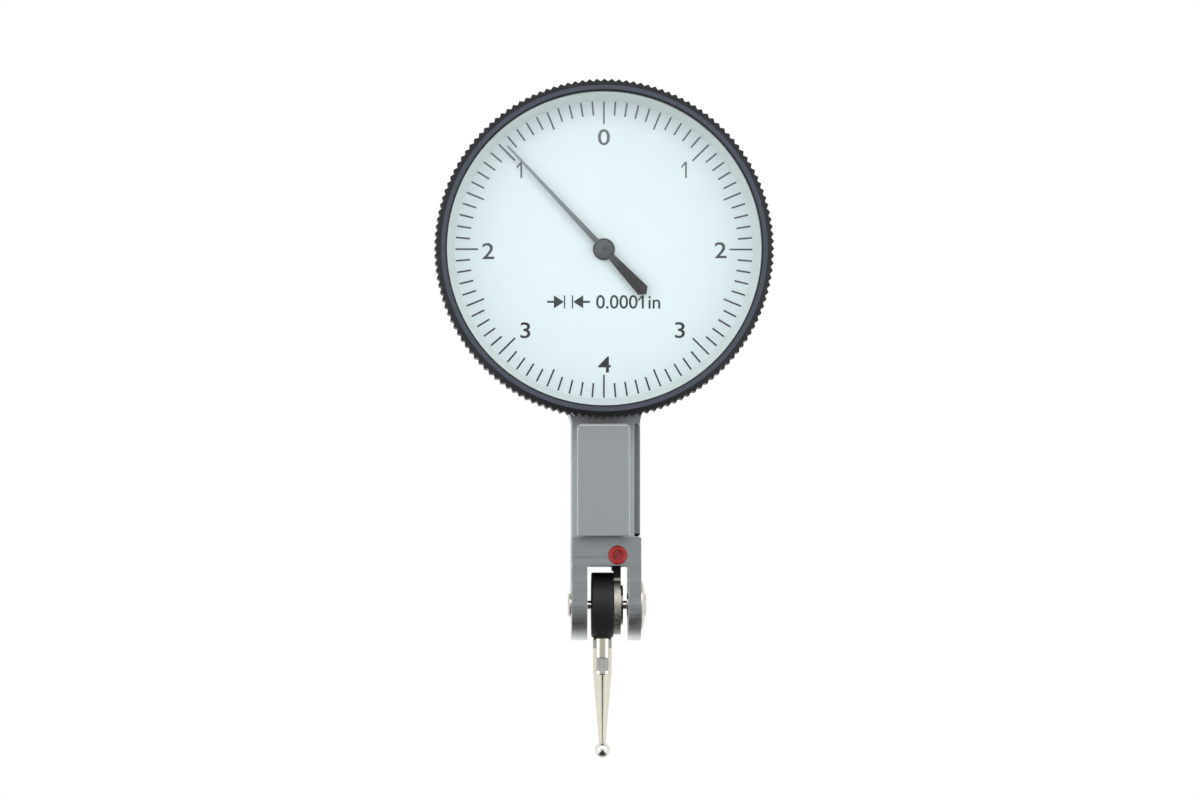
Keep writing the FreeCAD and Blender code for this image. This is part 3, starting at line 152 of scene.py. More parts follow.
class MetalSettings(bpy.types.PropertyGroup):
    body_colour: FloatVectorProperty(
        name="Body", description="Satin chrome of the body", default=(0.50, 0.54, 0.56), subtype="COLOR"
    )
    cover_colour: FloatVectorProperty(
        name="Side cover",
        description="Ground steel of the side cover",
        default=(0.20, 0.21, 0.22),
        subtype="COLOR",
    )
    bezel_colour: FloatVectorProperty(
        name="Bezel", description="Black finish of the bezel", default=(0.010, 0.010, 0.014), subtype="COLOR"
    )
    contact_colour: FloatVectorProperty(
        name="Contact",
        description="Polished steel of the contact",
        default=(0.74, 0.71, 0.60),
        subtype="COLOR",
    )
    lacquer_colour: FloatVectorProperty(
        name="Lacquer",
        description="Sealing lacquer on the stop screw",
        default=(0.34, 0.014, 0.014),
        subtype="COLOR",
    )
    edge_radius: FloatProperty(
        name="Edge radius", description="Rounding of every machined edge", default=0.06 * MM, unit="LENGTH"
    )


class StageSettings(bpy.types.PropertyGroup):
    distance: FloatProperty(
        name="Camera distance", description="From the camera to its target", default=1.0, unit="LENGTH"
    )
    elevation: FloatProperty(
        name="Camera elevation",
        description="Above the horizon, or below where negative",
        default=math.radians(-2.1),
        unit="ROTATION",
    )
    azimuth: FloatProperty(
        name="Camera azimuth",
        description="Round the object, from the front",
        default=math.radians(-1.3),
        unit="ROTATION",
    )
    field: FloatProperty(
        name="Field width", description="Width seen at the target", default=142.1 * MM, unit="LENGTH"
    )
    aim_across: FloatProperty(
        name="Aim across",
        description="The camera's target beside the dial's axis",
        default=-0.34 * MM,
        unit="LENGTH",
    )
    aim_height: FloatProperty(
        name="Aim height",
        description="The camera's target above the contact's tip",
        default=42.36 * MM,
        unit="LENGTH",
    )
    above_power: FloatProperty(
        name="Upper lamp",
        description="Power of the soft box above",
        default=2.0,
        unit="POWER",
    )
    side_power: FloatProperty(
        name="Side lamps",
        description="Power of each soft box beside",
        default=0.95,
        unit="POWER",
    )
    floor_drop: FloatProperty(
        name="Floor", description="Floor below the contact", default=60 * MM, unit="LENGTH"
    )


class IndicatorSettings(bpy.types.PropertyGroup):
    dial: PointerProperty(type=DialSettings)
    metal: PointerProperty(type=MetalSettings)
    stage: PointerProperty(type=StageSettings)


# ---- node building
def add(tree, kind, inputs=None, **settings):
    """A node with its settings, and its inputs set or linked."""
    node = tree.nodes.new(kind)
    for name, value in settings.items():
        setattr(node, name, value)
    for key, value in (inputs or {}).items():
        if isinstance(value, bpy.types.NodeSocket):
            tree.links.new(value, node.inputs[key])
        else:
            node.inputs[key].default_value = value
    return node


def group(name, inputs, outputs):
    """A new shader node group with its sockets: (kind, name, default) in, (kind, name) out."""
    tree = bpy.data.node_groups.new(name, "ShaderNodeTree")
    for kind, label, default in inputs:
        socket = tree.interface.new_socket(label, in_out="INPUT", socket_type=kind)
        if default is not None:
            socket.default_value = default
    for kind, label in outputs:
        tree.interface.new_socket(label, in_out="OUTPUT", socket_type=kind)
    return tree, tree.nodes.new("NodeGroupInput"), tree.nodes.new("NodeGroupOutput")


def grain_group():
    """Fine sand-like grain."""
    inputs = [("NodeSocketVector", "Vector", None), ("NodeSocketFloat", "Scale", 9000.0)]
    tree, start, end = group("fine_grain", inputs, [("NodeSocketFloat", "Mask")])
    noise = add(
        tree,
        "ShaderNodeTexNoise",
        {
            "Vector": start.outputs["Vector"],
            "Scale": start.outputs["Scale"],
            "Detail": 3.0,
            "Roughness": 0.65,
        },
    )
    tree.links.new(noise.outputs["Fac"], end.inputs["Mask"])
    return tree


def brush_group():
    """Fine straight lines left by grinding; Stretch squeezes the pattern across the lines."""
    inputs = [("NodeSocketVector", "Vector", None), ("NodeSocketVector", "Stretch", (400.0, 3000.0, 9000.0))]
    tree, start, end = group("ground_lines", inputs, [("NodeSocketFloat", "Mask")])
    stretched = add(
        tree,
        "ShaderNodeVectorMath",
        {0: start.outputs["Vector"], 1: start.outputs["Stretch"]},
        operation="MULTIPLY",
    )
    fine = add(
        tree,
        "ShaderNodeTexNoise",
        {"Vector": stretched.outputs[0], "Scale": 1.0, "Detail": 4.0, "Roughness": 0.6},
    )
    broad = add(tree, "ShaderNodeTexNoise", {"Vector": stretched.outputs[0], "Scale": 0.22, "Detail": 2.0})
    mixed = add(tree, "ShaderNodeMix", {0: 0.45, 2: fine.outputs["Fac"], 3: broad.outputs["Fac"]})
    tree.links.new(mixed.outputs[0], end.inputs["Mask"])
    return tree


def handling_group():
    """Broad soft smudges and a few hairline scratches from use."""
    inputs = [("NodeSocketVector", "Vector", None), ("NodeSocketFloat", "Scale", 260.0)]
    outputs = [("NodeSocketFloat", "Smudge"), ("NodeSocketFloat", "Scratch")]
    tree, start, end = group("handling_marks", inputs, outputs)
    smudge = add(
        tree,
        "ShaderNodeTexNoise",
        {
            "Vector": start.outputs["Vector"],
            "Scale": start.outputs["Scale"],
            "Detail": 4.0,
            "Distortion": 0.6,
        },
    )
    soft = add(
        tree,
        "ShaderNodeMapRange",
        {"Value": smudge.outputs["Fac"], "From Min": 0.38, "From Max": 0.68},
    )
    turned = add(
        tree,
        "ShaderNodeMapping",
        {"Vector": start.outputs["Vector"], "Rotation": (0.5, 0.9, 0.3), "Scale": (120.0, 4000.0, 4000.0)},
    )
    lines = add(tree, "ShaderNodeTexNoise", {"Vector": turned.outputs[0], "Scale": 1.0, "Detail": 1.0})
    thin = add(
        tree,
        "ShaderNodeMapRange",
        {"Value": lines.outputs["Fac"], "From Min": 0.72, "From Max": 0.78},
    )
    tree.links.new(soft.outputs[0], end.inputs["Smudge"])
    tree.links.new(thin.outputs[0], end.inputs["Scratch"])
    return tree


def edge_group():
    """Rounded edges, and a mask of where they are lightened, partly as wear and partly as a painted
    highlight.
    """
    inputs = [("NodeSocketFloat", "Radius", 0.00006), ("NodeSocketVector", "Vector", None)]
    outputs = [("NodeSocketVector", "Normal"), ("NodeSocketFloat", "Mask")]
    tree, start, end = group("worn_and_highlit_edges", inputs, outputs)
    rounded = add(tree, "ShaderNodeBevel", {"Radius": start.outputs["Radius"]}, samples=6)
    geometry = add(tree, "ShaderNodeNewGeometry")
    alike = add(
        tree,
        "ShaderNodeVectorMath",
        {0: rounded.outputs[0], 1: geometry.outputs["Normal"]},
        operation="DOT_PRODUCT",
    )
    edge = add(
        tree,
        "ShaderNodeMapRange",
        {"Value": alike.outputs["Value"], "From Min": 0.995, "From Max": 0.93, "To Min": 0.0, "To Max": 1.0},
    )
    noise = add(
        tree,
        "ShaderNodeTexNoise",
        {"Vector": start.outputs["Vector"], "Scale": 1500.0, "Detail": 3.0},
    )
    patches = add(
        tree,
        "ShaderNodeMapRange",
        {"Value": noise.outputs["Fac"], "From Min": 0.35, "From Max": 0.6},
    )
    wear_and_highlight = add(tree, "ShaderNodeMath", {0: edge.outputs[0], 1: patches.outputs[0]}, operation="MULTIPLY")
    tree.links.new(rounded.outputs[0], end.inputs["Normal"])
    tree.links.new(wear_and_highlight.outputs[0], end.inputs["Mask"])
    return tree


def zone_group():
    """White between two values, with a soft step at each."""
    inputs = [
        ("NodeSocketFloat", "Value", 0.0),
        ("NodeSocketFloat", "Low", 0.0),
        ("NodeSocketFloat", "High", 1.0),
        ("NodeSocketFloat", "Soft", 0.0001),
    ]
    tree, start, end = group("zone", inputs, [("NodeSocketFloat", "Mask")])
    value = start.outputs

    def maths(operation, *numbers):
        return add(tree, "ShaderNodeMath", dict(enumerate(numbers)), operation=operation).outputs[0]

    def rise(edge, sign):
        over = maths("MULTIPLY", maths("SUBTRACT", value["Value"], edge), sign)
        return add(
            tree,
            "ShaderNodeMath",
            {0: maths("DIVIDE", over, value["Soft"]), 1: 0.5},
            use_clamp=True,
        ).outputs[0]

    inside = maths("MULTIPLY", rise(value["Low"], 1.0), rise(value["High"], -1.0))
    tree.links.new(inside, end.inputs["Mask"])
    return tree


GROUPS = {}


def place(tree, name, inputs):
    """Puts one of the shared groups into a material."""
    makers = {
        "fine_grain": grain_group,
        "ground_lines": brush_group,
        "handling_marks": handling_group,
        "worn_and_highlit_edges": edge_group,
        "zone": zone_group,
    }
    if name not in GROUPS:
        GROUPS[name] = makers[name]()
    node = tree.nodes.new("ShaderNodeGroup")
    node.node_tree = GROUPS[name]
    for key, value in inputs.items():
        if isinstance(value, bpy.types.NodeSocket):
            tree.links.new(value, node.inputs[key])
        else:
            node.inputs[key].default_value = value
    return node


def blank(name):
    material = bpy.data.materials.new(name)
    material.use_nodes = True
    tree = material.node_tree
    tree.nodes.clear()
    output = tree.nodes.new("ShaderNodeOutputMaterial")
    shader = tree.nodes.new("ShaderNodeBsdfPrincipled")
    tree.links.new(shader.outputs[0], output.inputs["Surface"])
    coordinates = tree.nodes.new("ShaderNodeTexCoord").outputs["Object"]
    return material, tree, shader, coordinates


def finish(
    name,
    colour,
    metallic=1.0,
    roughness=0.35,
    spread=0.1,
    stretch=None,
    grain=9000.0,
    bump=0.2,
    height=0.002 * MM,
    variation=0.12,
    wear_and_highlight=None,
    edge=0.06 * MM,
    coat=0.0,
    specular=0.5,
    smudge=0.06,
):
    """A machined or coated surface: grain or ground lines, smudges, and rounded edges lightened to a colour,
    partly as wear and partly as a painted highlight.
    """
    material, tree, shader, where = blank(name)
    if stretch:
        pattern = place(tree, "ground_lines", {"Vector": where, "Stretch": stretch}).outputs["Mask"]
    else:
        pattern = place(tree, "fine_grain", {"Vector": where, "Scale": grain}).outputs["Mask"]
    marks = place(tree, "handling_marks", {"Vector": where})
    edges = place(tree, "worn_and_highlit_edges", {"Radius": edge, "Vector": where})
    dark = [c * (1 - variation) for c in colour]
    light = [min(1.0, c * (1 + variation)) for c in colour]
    shade = add(tree, "ShaderNodeMix", {0: pattern, 6: (*dark, 1), 7: (*light, 1)}, data_type="RGBA")
    smudged = add(
        tree,
        "ShaderNodeMix",
        {0: marks.outputs["Smudge"], 6: shade.outputs[2], 7: (*[c * (1 - smudge) for c in colour], 1)},
        data_type="RGBA",
    )
    # edge colour: partly wear, partly a painted highlight along the rounded edges
    wear_and_highlight_colour = wear_and_highlight or [min(1.0, c * 1.5) for c in colour]
    base = add(
        tree,
        "ShaderNodeMix",
        {0: edges.outputs["Mask"], 6: smudged.outputs[2], 7: (*wear_and_highlight_colour, 1)},
        data_type="RGBA",
    )
    tree.links.new(base.outputs[2], shader.inputs["Base Color"])
    rough = add(
        tree,
        "ShaderNodeMapRange",
        {
            "Value": pattern,
            "From Min": 0.3,
            "From Max": 0.7,
            "To Min": roughness - spread,
            "To Max": roughness + spread,
        },
    )
    handled = add(
        tree,
        "ShaderNodeMath",
        {0: marks.outputs["Smudge"], 1: spread, 2: rough.outputs[0]},
        operation="MULTIPLY_ADD",
    )
    tree.links.new(handled.outputs[0], shader.inputs["Roughness"])
    raised = add(
        tree,
        "ShaderNodeBump",
        {"Strength": bump, "Distance": height, "Height": pattern, "Normal": edges.outputs["Normal"]},
    )
    tree.links.new(raised.outputs[0], shader.inputs["Normal"])
    shader.inputs["Metallic"].default_value = metallic
    shader.inputs["Specular IOR Level"].default_value = specular
    shader.inputs["Coat Weight"].default_value = coat
    shader.inputs["Coat Roughness"].default_value = 0.08
    return material


def axis_value(tree, axis):
    """The place along one axis of the piece."""
    where = tree.nodes.new("ShaderNodeTexCoord").outputs["Object"]
    return add(tree, "ShaderNodeSeparateXYZ", {0: where}).outputs[axis]


def band(tree, value, low, high, soft=0.06 * MM):
    inputs = {"Value": value, "Low": low, "High": high, "Soft": soft}
    return place(tree, "zone", inputs).outputs["Mask"]


def times(tree, first, second):
    return add(tree, "ShaderNodeMath", {0: first, 1: second}, operation="MULTIPLY").outputs[0]


def tint(material, mask, colour):
    """Mixes a colour into a finish where a mask is white."""
    tree = material.node_tree
    socket = tree.nodes["Principled BSDF"].inputs["Base Color"]
    before = socket.links[0].from_socket
    mixed = add(tree, "ShaderNodeMix", {0: mask, 6: before, 7: (*colour, 1)}, data_type="RGBA")
    tree.links.new(mixed.outputs[2], socket)


def roughen(material, mask, roughness):
    """Mixes a roughness into a finish where a mask is white."""
    tree = material.node_tree
    socket = tree.nodes["Principled BSDF"].inputs["Roughness"]
    before = socket.links[0].from_socket
    mixed = add(tree, "ShaderNodeMix", {0: mask, 2: before, 3: roughness})
    tree.links.new(mixed.outputs[0], socket)


def glass(name):
    """Clear glass that lets the light through to the dial."""
    material, tree, shader, where = blank(name)
    marks = place(tree, "handling_marks", {"Vector": where, "Scale": 160.0})
    haze = add(
        tree,
        "ShaderNodeMapRange",
        {"Value": marks.outputs["Smudge"], "To Min": 0.0, "To Max": 0.03},
    )
    tree.links.new(haze.outputs[0], shader.inputs["Roughness"])
    shader.inputs["Base Color"].default_value = (0.97, 0.99, 1.0, 1)
    shader.inputs["Transmission Weight"].default_value = 1.0
    shader.inputs["IOR"].default_value = 1.46
    clear = add(tree, "ShaderNodeBsdfTransparent", {"Color": (0.97, 0.98, 0.98, 1)})
    path = tree.nodes.new("ShaderNodeLightPath")
    passing = add(
        tree,
        "ShaderNodeMath",
        {0: path.outputs["Is Shadow Ray"], 1: path.outputs["Is Diffuse Ray"]},
        operation="MAXIMUM",
    )
    mixed = add(
        tree,
        "ShaderNodeMixShader",
        {0: passing.outputs[0], 1: shader.outputs[0], 2: clear.outputs[0]},
    )
    tree.links.new(mixed.outputs[0], tree.nodes["Material Output"].inputs["Surface"])
    return material


def body_steel(settings):
    """Satin chrome: ground across on the fork, mottled on the neck, smooth on the rails' faces; painted light
    makes the ears paler towards their bottoms, a painted highlight runs along the front rail's top, and
    painted shade darkens the slot's ceiling.
    """
    metal = settings.metal
    colour = metal.body_colour
    material = finish(
        "satin_chrome",
        [c * 0.66 for c in colour],
        roughness=0.36,
        spread=0.08,
        stretch=(160.0, 1500.0, 8000.0),
        bump=0.7,
        variation=0.34,
        # near-white edges: a painted highlight along the body's rounded edges, with some wear
        wear_and_highlight=(0.90, 0.92, 0.90),
        edge=metal.edge_radius * 1.6,
    )
    tree = material.node_tree
    height = axis_value(tree, 2)
    depth = axis_value(tree, 1)
    # painted light: the ears grow paler towards their bottoms, standing in for white reflected from below
    ear_low = {"Value": height, "From Min": PIVOT.z + 1.0 * MM, "From Max": PIVOT.z - 4.0 * MM}
    ear_painted_light = add(tree, "ShaderNodeMapRange", ear_low, interpolation_type="SMOOTHSTEP").outputs[0]
    tint(material, ear_painted_light, (0.80, 0.82, 0.82))
    neck = band(tree, height, FORK_TOP - 0.1 * MM, 1.0)
    where = tree.nodes.new("ShaderNodeTexCoord").outputs["Object"]
    grain = place(tree, "fine_grain", {"Vector": where, "Scale": 3400.0}).outputs["Mask"]
    speckle = add(
        tree,
        "ShaderNodeMix",
        {0: grain, 6: (*[c * 0.58 for c in colour], 1), 7: (*[min(1, c * 1.40) for c in colour], 1)},
        data_type="RGBA",
    ).outputs[2]
    socket = tree.nodes["Principled BSDF"].inputs["Base Color"]
    before = socket.links[0].from_socket
    mottled = add(tree, "ShaderNodeMix", {0: neck, 6: before, 7: speckle}, data_type="RGBA")
    tree.links.new(mottled.outputs[2], socket)
    front_rail = band(tree, depth, -1.0, RAIL_FACE + 0.3 * MM)
    back_rail = band(tree, depth, -0.3 * MM, 1.0)
    rail = add(tree, "ShaderNodeMath", {0: front_rail, 1: back_rail}, operation="MAXIMUM").outputs[0]
    rail = times(tree, rail, band(tree, height, FORK_TOP - 0.1 * MM, FORK_TOP + 14 * MM))
    fine = add(
        tree,
        "ShaderNodeMix",
        {0: grain, 6: (*[c * 0.97 for c in colour], 1), 7: (*[min(1, c * 1.03) for c in colour], 1)},
        data_type="RGBA",
    ).outputs[2]
    before = socket.links[0].from_socket
    smooth = add(tree, "ShaderNodeMix", {0: rail, 6: before, 7: fine}, data_type="RGBA")
    tree.links.new(smooth.outputs[2], socket)
    roughen(material, rail, 0.2)
    # painted highlight: a pale, less metallic line along the top of the front rail
    rail_top = band(tree, height, RAIL_TOP - 0.26 * MM, RAIL_TOP + 0.1 * MM, 0.02 * MM)
    rail_top_highlight = times(tree, front_rail, rail_top)
    tint(material, rail_top_highlight, (0.95, 0.96, 0.93))
    metal_less = add(tree, "ShaderNodeMath", {0: 1.0, 1: rail_top_highlight}, operation="SUBTRACT").outputs[0]
    tree.links.new(metal_less, tree.nodes["Principled BSDF"].inputs["Metallic"])
    # painted shade: downward faces at the slot's ceiling are tinted near black
    normal = tree.nodes.new("ShaderNodeNewGeometry").outputs["Normal"]
    downward = add(tree, "ShaderNodeSeparateXYZ", {0: normal}).outputs[2]
    under = add(
        tree,
        "ShaderNodeMapRange",
        {"Value": downward, "From Min": -0.8, "From Max": -0.97},
    ).outputs[0]
    ceiling_shade = times(tree, under, band(tree, height, SLOT_CEILING - 0.3 * MM, SLOT_CEILING + 0.3 * MM))
    tint(material, ceiling_shade, (0.03, 0.032, 0.035))
    return material


def make_materials(settings):
    metal, dial = settings.metal, settings.dial
    edge = metal.edge_radius
    steel = (0.56, 0.55, 0.52)
    return {
        "satin_steel": body_steel(settings),
        "cover_steel": finish(
            "ground_cover",
            metal.cover_colour,
            roughness=0.36,
            stretch=(9000.0, 2600.0, 300.0),
            edge=edge,
        ),
        "black_bezel": finish(
            "black_bezel",
            metal.bezel_colour,
            metallic=0.0,
            roughness=0.42,
            variation=0.25,
            wear_and_highlight=(0.05, 0.045, 0.045),
            edge=edge / 2,
        ),
        "glass": glass("crystal_glass"),
        "rubber": finish("seal_rubber", (0.02, 0.02, 0.02), metallic=0.0, roughness=0.7, edge=edge),
        "dial_white": finish(
            "dial_enamel",
            dial.face_colour,
            metallic=0.0,
            roughness=0.5,
            spread=0.05,
            bump=0.05,
            variation=0.012,
            smudge=0.015,
            edge=edge,
        ),
        "ring_grey": finish(
            "dial_surround",
            dial.ring_colour,
            metallic=0.0,
            roughness=0.38,
            bump=0.05,
            variation=0.03,
            smudge=0.03,
            edge=edge,
        ),
        "pointer_dark": finish(
            "pointer_lacquer",
            (0.020, 0.021, 0.023),
            metallic=0.35,
            specular=0.3,
            roughness=0.32,
            variation=0.15,
            wear_and_highlight=(0.14, 0.14, 0.15),
            edge=edge / 3,
        ),
        "brass": finish(
            "watch_brass",
            (0.72, 0.52, 0.24),
            roughness=0.3,
            stretch=(500.0, 7000.0, 7000.0),
            edge=edge,
        ),
        "movement_nickel": finish(
            "nickelled_brass",
            (0.60, 0.57, 0.50),
            roughness=0.32,
            grain=5000.0,
            edge=edge,
        ),
        "arbor_steel": finish(
            "polished_arbor",
            (0.60, 0.61, 0.63),
            roughness=0.12,
            spread=0.04,
            edge=edge / 2,
        ),
        "jewel_red": finish(
            "ruby",
            (0.45, 0.01, 0.05),
            metallic=0.0,
            roughness=0.08,
            spread=0.03,
            coat=1.0,
            edge=edge,
        ),
        "spring_blue": finish("blued_spring", (0.06, 0.10, 0.30), roughness=0.22, edge=edge / 3),
        "lever_steel": finish(
            "lever_plate",
            (0.50, 0.48, 0.42),
            roughness=0.34,
            spread=0.16,
            grain=2400.0,
            variation=0.7,
            bump=0.6,
            height=0.01 * MM,
            wear_and_highlight=(0.85, 0.82, 0.72),
            edge=edge,
        ),
        "hub_black": finish(
            "black_oxide",
            (0.012, 0.012, 0.014),
            metallic=0.0,
            roughness=0.40,
            spread=0.08,
            stretch=(9000.0, 500.0, 500.0),
            variation=0.3,
            wear_and_highlight=(0.06, 0.06, 0.06),
            edge=edge,
            specular=0.28,
        ),
        "contact_steel": finish(
            "polished_contact",
            metal.contact_colour,
            roughness=0.13,
            spread=0.05,
            stretch=(7000.0, 7000.0, 260.0),
            variation=0.08,
            bump=0.12,
            wear_and_highlight=(0.95, 0.93, 0.85),
            edge=edge / 2,
        ),
        "ball_carbide": finish(
            "lapped_ball",
            (0.82, 0.81, 0.76),
            roughness=0.04,
            spread=0.015,
            bump=0.02,
            variation=0.02,
            smudge=0.02,
            edge=edge / 4,
        ),
        "screw_steel": finish(
            "turned_screw",
            (0.66, 0.63, 0.54),
            roughness=0.24,
            spread=0.08,
            grain=4000.0,
            wear_and_highlight=(0.90, 0.88, 0.80),
            edge=edge,
        ),
        "axle_dark": finish("dark_axle", (0.50, 0.50, 0.48), roughness=0.1, spread=0.04, edge=edge / 2),
        "screw_red": finish(
            "sealing_lacquer",
            metal.lacquer_colour,
            metallic=0.0,
            roughness=0.16,
            spread=0.06,
            grain=1500.0,
            bump=0.5,
            height=0.02 * MM,
            variation=0.2,
            wear_and_highlight=(0.62, 0.03, 0.03),
            coat=0.3,
            specular=0.3,
            edge=edge,
        ),
    }


def add_zones(materials):
    """Finishes that differ along a piece, and painted light and shade: painted shade on the lever, the side
    cover's foot, the stop screw's recess and the contact's sides, and a painted reflection along the pointer.
    """
    lever = materials["lever_steel"]
    tree = lever.node_tree
    # painted shade: the lever's top, under the slot's ceiling, is tinted near black and rough
    shaded_arm = band(tree, axis_value(tree, 2), PIVOT.z + 3.15 * MM, 1.0, 0.15 * MM)
    tint(lever, shaded_arm, (0.03, 0.03, 0.03))
    roughen(lever, shaded_arm, 0.65)
    # painted shade: the lever darker towards its bottom
    low = band(tree, axis_value(tree, 2), -1.0, PIVOT.z - 1.6 * MM, 0.9 * MM)
    tint(lever, low, (0.32, 0.31, 0.28))

    bezel = materials["black_bezel"]
    tree = bezel.node_tree
    radius = radius_from(tree, DIAL_CENTRE)
    face = band(tree, radius, FACE_INNER, FACE_OUTER, 0.08 * MM)
    tint(bezel, face, (0.042, 0.052, 0.075))
    shine = add(tree, "ShaderNodeMix", {0: face, 2: 0.3, 3: 0.5}).outputs[0]
    tree.links.new(shine, tree.nodes["Principled BSDF"].inputs["Specular IOR Level"])

    axle = materials["axle_dark"]
    tree = axle.node_tree
    washer_low, washer_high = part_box("friction_washer")
    washer = band(tree, axis_value(tree, 0), washer_low[0], washer_high[0], 0.02 * MM)
    tint(axle, washer, (0.16, 0.16, 0.16))

    arbor = materials["arbor_steel"]
    tree = arbor.node_tree
    tint(arbor, band(tree, axis_value(tree, 1), -1.0, DIAL_FACE), (0.12, 0.12, 0.13))

    cover = materials["cover_steel"]
    tree = cover.node_tree
    # painted shade: the cover's lower end is tinted near black
    tint(cover, band(tree, axis_value(tree, 2), -1.0, FORK_TOP + 0.3 * MM), (0.012, 0.012, 0.014))

    lacquer = materials["screw_red"]
    tree = lacquer.node_tree
    centre = middle("lever_stop_screw")
    # painted shade: the recessed middle of the stop screw is tinted darker red
    shaded_recess = disc_mask(tree, centre, 0.66 * MM)
    tint(lacquer, shaded_recess, (0.26, 0.022, 0.024))

    contact = materials["contact_steel"]
    tree = contact.node_tree
    # painted shade: the upper shank is darker on its sides, beyond a middle strip
    across = band(tree, axis_value(tree, 0), BALL.x - 0.72 * MM, BALL.x + 0.72 * MM, 0.1 * MM)
    outside = add(tree, "ShaderNodeMath", {0: 1.0, 1: across}, operation="SUBTRACT").outputs[0]
    upper = band(tree, axis_value(tree, 2), PIVOT.z - 5.15 * MM, 1.0, 0.05 * MM)
    tint(contact, times(tree, outside, upper), (0.34, 0.34, 0.32))
    flats = band(tree, axis_value(tree, 2), FLAT_LOW, FLAT_HIGH, 0.02 * MM)
    shallow = band(tree, axis_value(tree, 1), PIVOT.y - 0.87 * MM, PIVOT.y + 0.87 * MM, 0.01 * MM)
    ground = times(
        tree,
        flats,
        add(tree, "ShaderNodeMath", {0: 1.0, 1: shallow}, operation="SUBTRACT").outputs[0],
    )
    where = tree.nodes.new("ShaderNodeTexCoord").outputs["Object"]
    lines = place(tree, "ground_lines", {"Vector": where, "Stretch": (9000.0, 9000.0, 500.0)}).outputs["Mask"]
    shade = add(
        tree,
        "ShaderNodeMix",
        {0: lines, 6: (0.16, 0.19, 0.23, 1), 7: (0.90, 0.88, 0.80, 1)},
        data_type="RGBA",
    )
    socket = tree.nodes["Principled BSDF"].inputs["Base Color"]
    before = socket.links[0].from_socket
    mixed = add(tree, "ShaderNodeMix", {0: ground, 6: before, 7: shade.outputs[2]}, data_type="RGBA")
    tree.links.new(mixed.outputs[2], socket)
    roughen(contact, ground, 0.45)

    needle = materials["pointer_dark"]
    tree = needle.node_tree
    # painted reflection: the pointer grows paler from its tail towards its tip
    along = (-math.sin(POINTER_ANGLE), 0.0, math.cos(POINTER_ANGLE))
    where = tree.nodes.new("ShaderNodeTexCoord").outputs["Object"]
    offset = add(tree, "ShaderNodeVectorMath", {0: where, 1: DIAL_CENTRE}, operation="SUBTRACT").outputs[0]
    reach = add(tree, "ShaderNodeVectorMath", {0: offset, 1: along}, operation="DOT_PRODUCT").outputs["Value"]
    grey = add(tree, "ShaderNodeMapRange", {"Value": reach, "From Min": -0.003, "From Max": 0.004}).outputs[0]
    tint(needle, grey, (0.19, 0.21, 0.22))
    pale = add(tree, "ShaderNodeMapRange", {"Value": reach, "From Min": 0.004, "From Max": 0.016}).outputs[0]
    tint(needle, pale, (0.30, 0.34, 0.36))


def radius_from(tree, centre):
    """The distance from a line that runs front to back through a place."""
    where = tree.nodes.new("ShaderNodeTexCoord").outputs["Object"]
    offset = add(tree, "ShaderNodeVectorMath", {0: where, 1: centre}, operation="SUBTRACT").outputs[0]
    flat = add(tree, "ShaderNodeVectorMath", {0: offset, 1: (1.0, 0.0, 1.0)}, operation="MULTIPLY").outputs[0]
    return add(tree, "ShaderNodeVectorMath", {0: flat}, operation="LENGTH").outputs["Value"]


def disc_mask(tree, centre, radius):
    """White within a radius of a line that runs front to back through a place."""
    return band(tree, radius_from(tree, centre), -1.0, radius, 0.03 * MM)


MATERIALS = {}


def material_of(slot):
    if not MATERIALS:
        MATERIALS.update(make_materials(bpy.context.scene.indicator))
        add_zones(MATERIALS)
    return MATERIALS[slot]


# ---- pieces
def new_object(name, mesh):
    piece = bpy.data.objects.new(name, mesh)
    bpy.context.scene.collection.objects.link(piece)
    return piece


def give(piece, material, body, slot, *nodes):
    """Material, body, slot and the nodes that a piece stands for; the slot is not used."""
    piece.data.materials.clear()
    piece.data.materials.append(material)
    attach(piece, body)
    if nodes:
        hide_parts(*nodes)


def dress(*nodes):
    """Gives CAD nodes the finish of their slot."""
    for node in nodes:
        mesh = frame["nodes"][node].data
        mesh.materials.clear()
        mesh.materials.append(material_of(SLOT_OF[node]))


def as_mesh(piece, name):
    """The evaluated shape as a plain mesh in a new object; the old one is removed."""
    bpy.context.view_layer.update()
    evaluated = piece.evaluated_get(bpy.context.evaluated_depsgraph_get())
    mesh = bpy.data.meshes.new_from_object(evaluated)
    mesh.transform(piece.matrix_world)
    mesh.name = name
    bpy.data.objects.remove(piece)
    return new_object(name, mesh)


